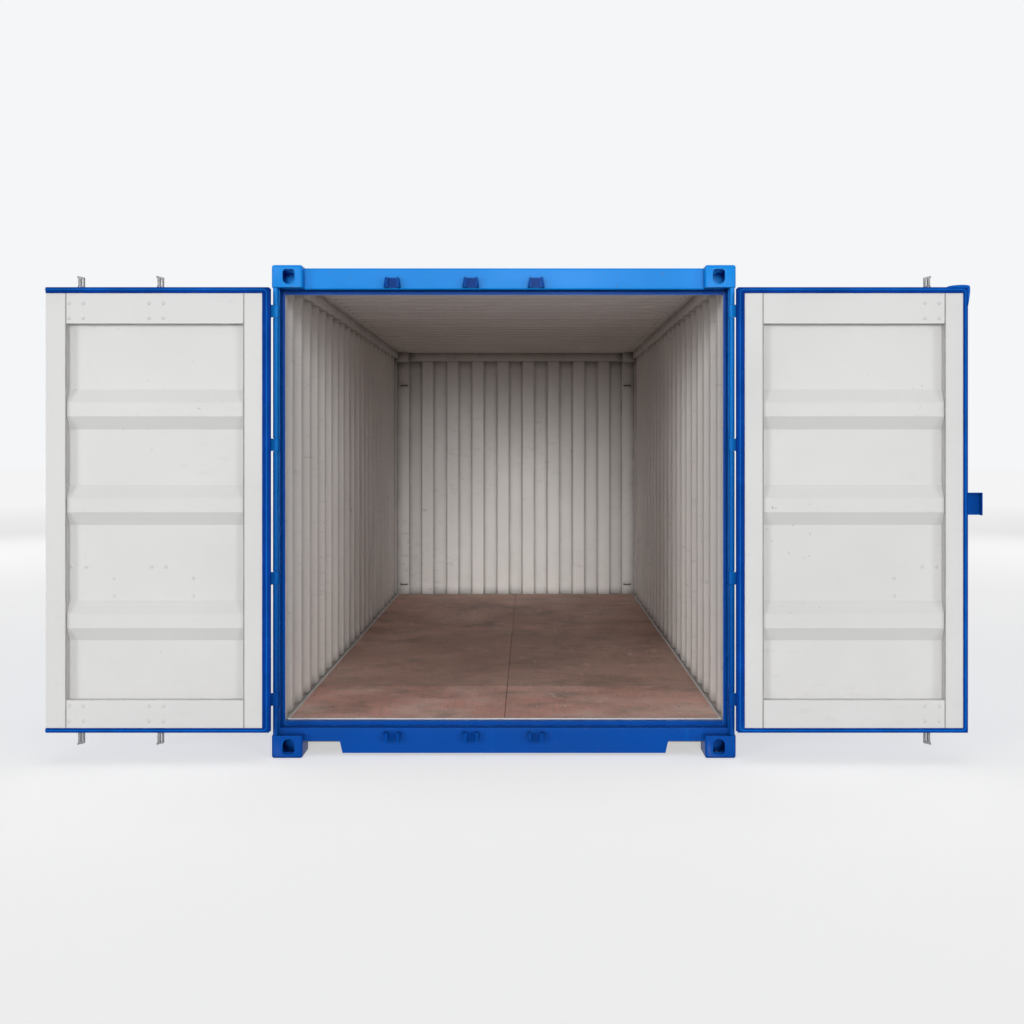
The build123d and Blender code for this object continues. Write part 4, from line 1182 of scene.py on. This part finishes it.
def weld_lashing_bars():
    """Short bent bars for straps on the front posts."""
    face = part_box("front_wall")[0].y
    points, edges = [], []
    for side in sides.values():
        x = middle_x + side * (half_width - lashing_inset)
        for z in lashing_heights:
            start = len(points)
            points += [(x - lashing_half, face + sheet, z), (x - lashing_knee, face - lashing_reach, z),
                       (x + lashing_knee, face - lashing_reach, z), (x + lashing_half, face + sheet, z)]
            edges += [(start + step, start + step + 1) for step in range(3)]
    draw_bead("lashing_bars", points, edges, "underframe", "container", lashing_radius, lashing_corner)


fit_bolts()
seal_doors()
lay_floor()
caulk_floor()
raise_walls()
ridge_gaskets()
peel_gasket_corner()
weld_lashing_bars()


# Stage, lights and camera

def seen_rays(tree):
    """1 for what the camera sees, itself or in a gloss or through glass."""
    rays = add_node(tree, "ShaderNodeLightPath").outputs
    direct = calculate(tree, "MAXIMUM", rays["Is Camera Ray"], rays["Is Glossy Ray"])
    return calculate(tree, "MAXIMUM", direct, rays["Is Transmission Ray"])


def make_stage():
    """A pale floor that the box stands on."""
    material, tree, shader = new_material("studio_pale")
    shader.inputs["Base Color"].default_value = stage_pale
    shader.inputs["Roughness"].default_value = 0.9
    shader.inputs["Specular IOR Level"].default_value = 0.0
    away = measure(tree, "LENGTH", object_place(tree))
    glow = product(tree, seen_rays(tree), ramp(tree, away, glow_start, glow_end, near_glow, far_glow))
    grey = add_node(tree, "ShaderNodeCombineColor", {"Red": glow, "Green": glow, "Blue": glow})
    tree.links.new(grey.outputs["Color"], shader.inputs["Emission Color"])
    shader.inputs["Emission Strength"].default_value = 1.0
    corners = ((-1, -1), (1, -1), (1, 1), (-1, 1))
    points = [(x * stage_reach, y * stage_reach, 0) for x, y in corners]
    floor = place_mesh("studio_floor", points, [(0, 1, 2, 3)], material)


def far_light(name, target, rise, turn, strength, spread=18):
    """A wide, even light from far off, that falls on the target at an angle above the ground."""
    lamp = bpy.data.lights.new(name, "SUN")
    lamp.angle = math.radians(spread)
    lamp.energy = strength
    light = place_object(name, lamp)
    light.location = target
    light.rotation_euler = (math.radians(90 - rise), 0, math.radians(turn))


def soft_light(name, place, target, size, power):
    """A square soft lamp that points at a target."""
    lamp = bpy.data.lights.new(name, "AREA")
    lamp.shape = "SQUARE"
    lamp.size = size
    lamp.energy = power
    light = place_object(name, lamp)
    light.location = place
    light.rotation_euler = (Vector(target) - Vector(place)).to_track_quat("-Z", "Y").to_euler()


def make_lights():
    """Low light through the doorway from the front and both sides, and soft light from above and behind."""
    doorway = (middle_x, door_face, 1.3)
    far_light("front_light", doorway, rise=8, turn=0, strength=1.44)
    far_light("left_light", doorway, rise=9, turn=-42, strength=0.82)
    far_light("right_light", doorway, rise=9, turn=42, strength=0.60)
    soft_light("sky_light", (-0.6, door_face - 9.0, 9.5), doorway, size=9.0, power=70)
    soft_light("top_light", (0.0, -3.0, 12.0), (0.0, -3.0, 0.0), size=10.0, power=330)
    for name, side in sides.items():
        soft_light(f"{name}_back_light", (side * 10.0, 9.0, 7.0), (0.0, 1.0, 1.0), size=9.0, power=260)


def make_world():
    """Even pale light; the camera and glossy surfaces see it as white."""
    world = bpy.data.worlds.new("studio")
    world.use_nodes = True
    tree = world.node_tree
    tree.nodes.clear()
    strength = ramp(tree, seen_rays(tree), 0.0, 1.0, fill_strength, seen_strength)
    sky = add_node(tree, "ShaderNodeBackground", {"Color": sky_pale, "Strength": strength})
    add_node(tree, "ShaderNodeOutputWorld", {"Surface": sky.outputs["Background"]})
    bpy.context.scene.world = world


def make_camera():
    """The photograph's viewpoint, level, with the frame shifted to the photograph's."""
    data = bpy.data.cameras.new("camera")
    data.sensor_width = sensor_width
    data.lens = sensor_width * camera_distance / (metres_per_pixel * frame_pixels)
    data.shift_x = (frame_pixels / 2 - vanishing_pixel[0]) / frame_pixels
    data.shift_y = (vanishing_pixel[1] - frame_pixels / 2) / frame_pixels
    camera = place_object("camera", data)
    camera.location = (middle_x + camera_side, door_face - camera_distance, camera_height)
    camera.rotation_euler = (math.radians(90), 0, 0)
    bpy.context.scene.camera = camera


make_stage()
make_world()
make_lights()
make_camera()
bpy.context.scene.view_settings.view_transform = "Standard"
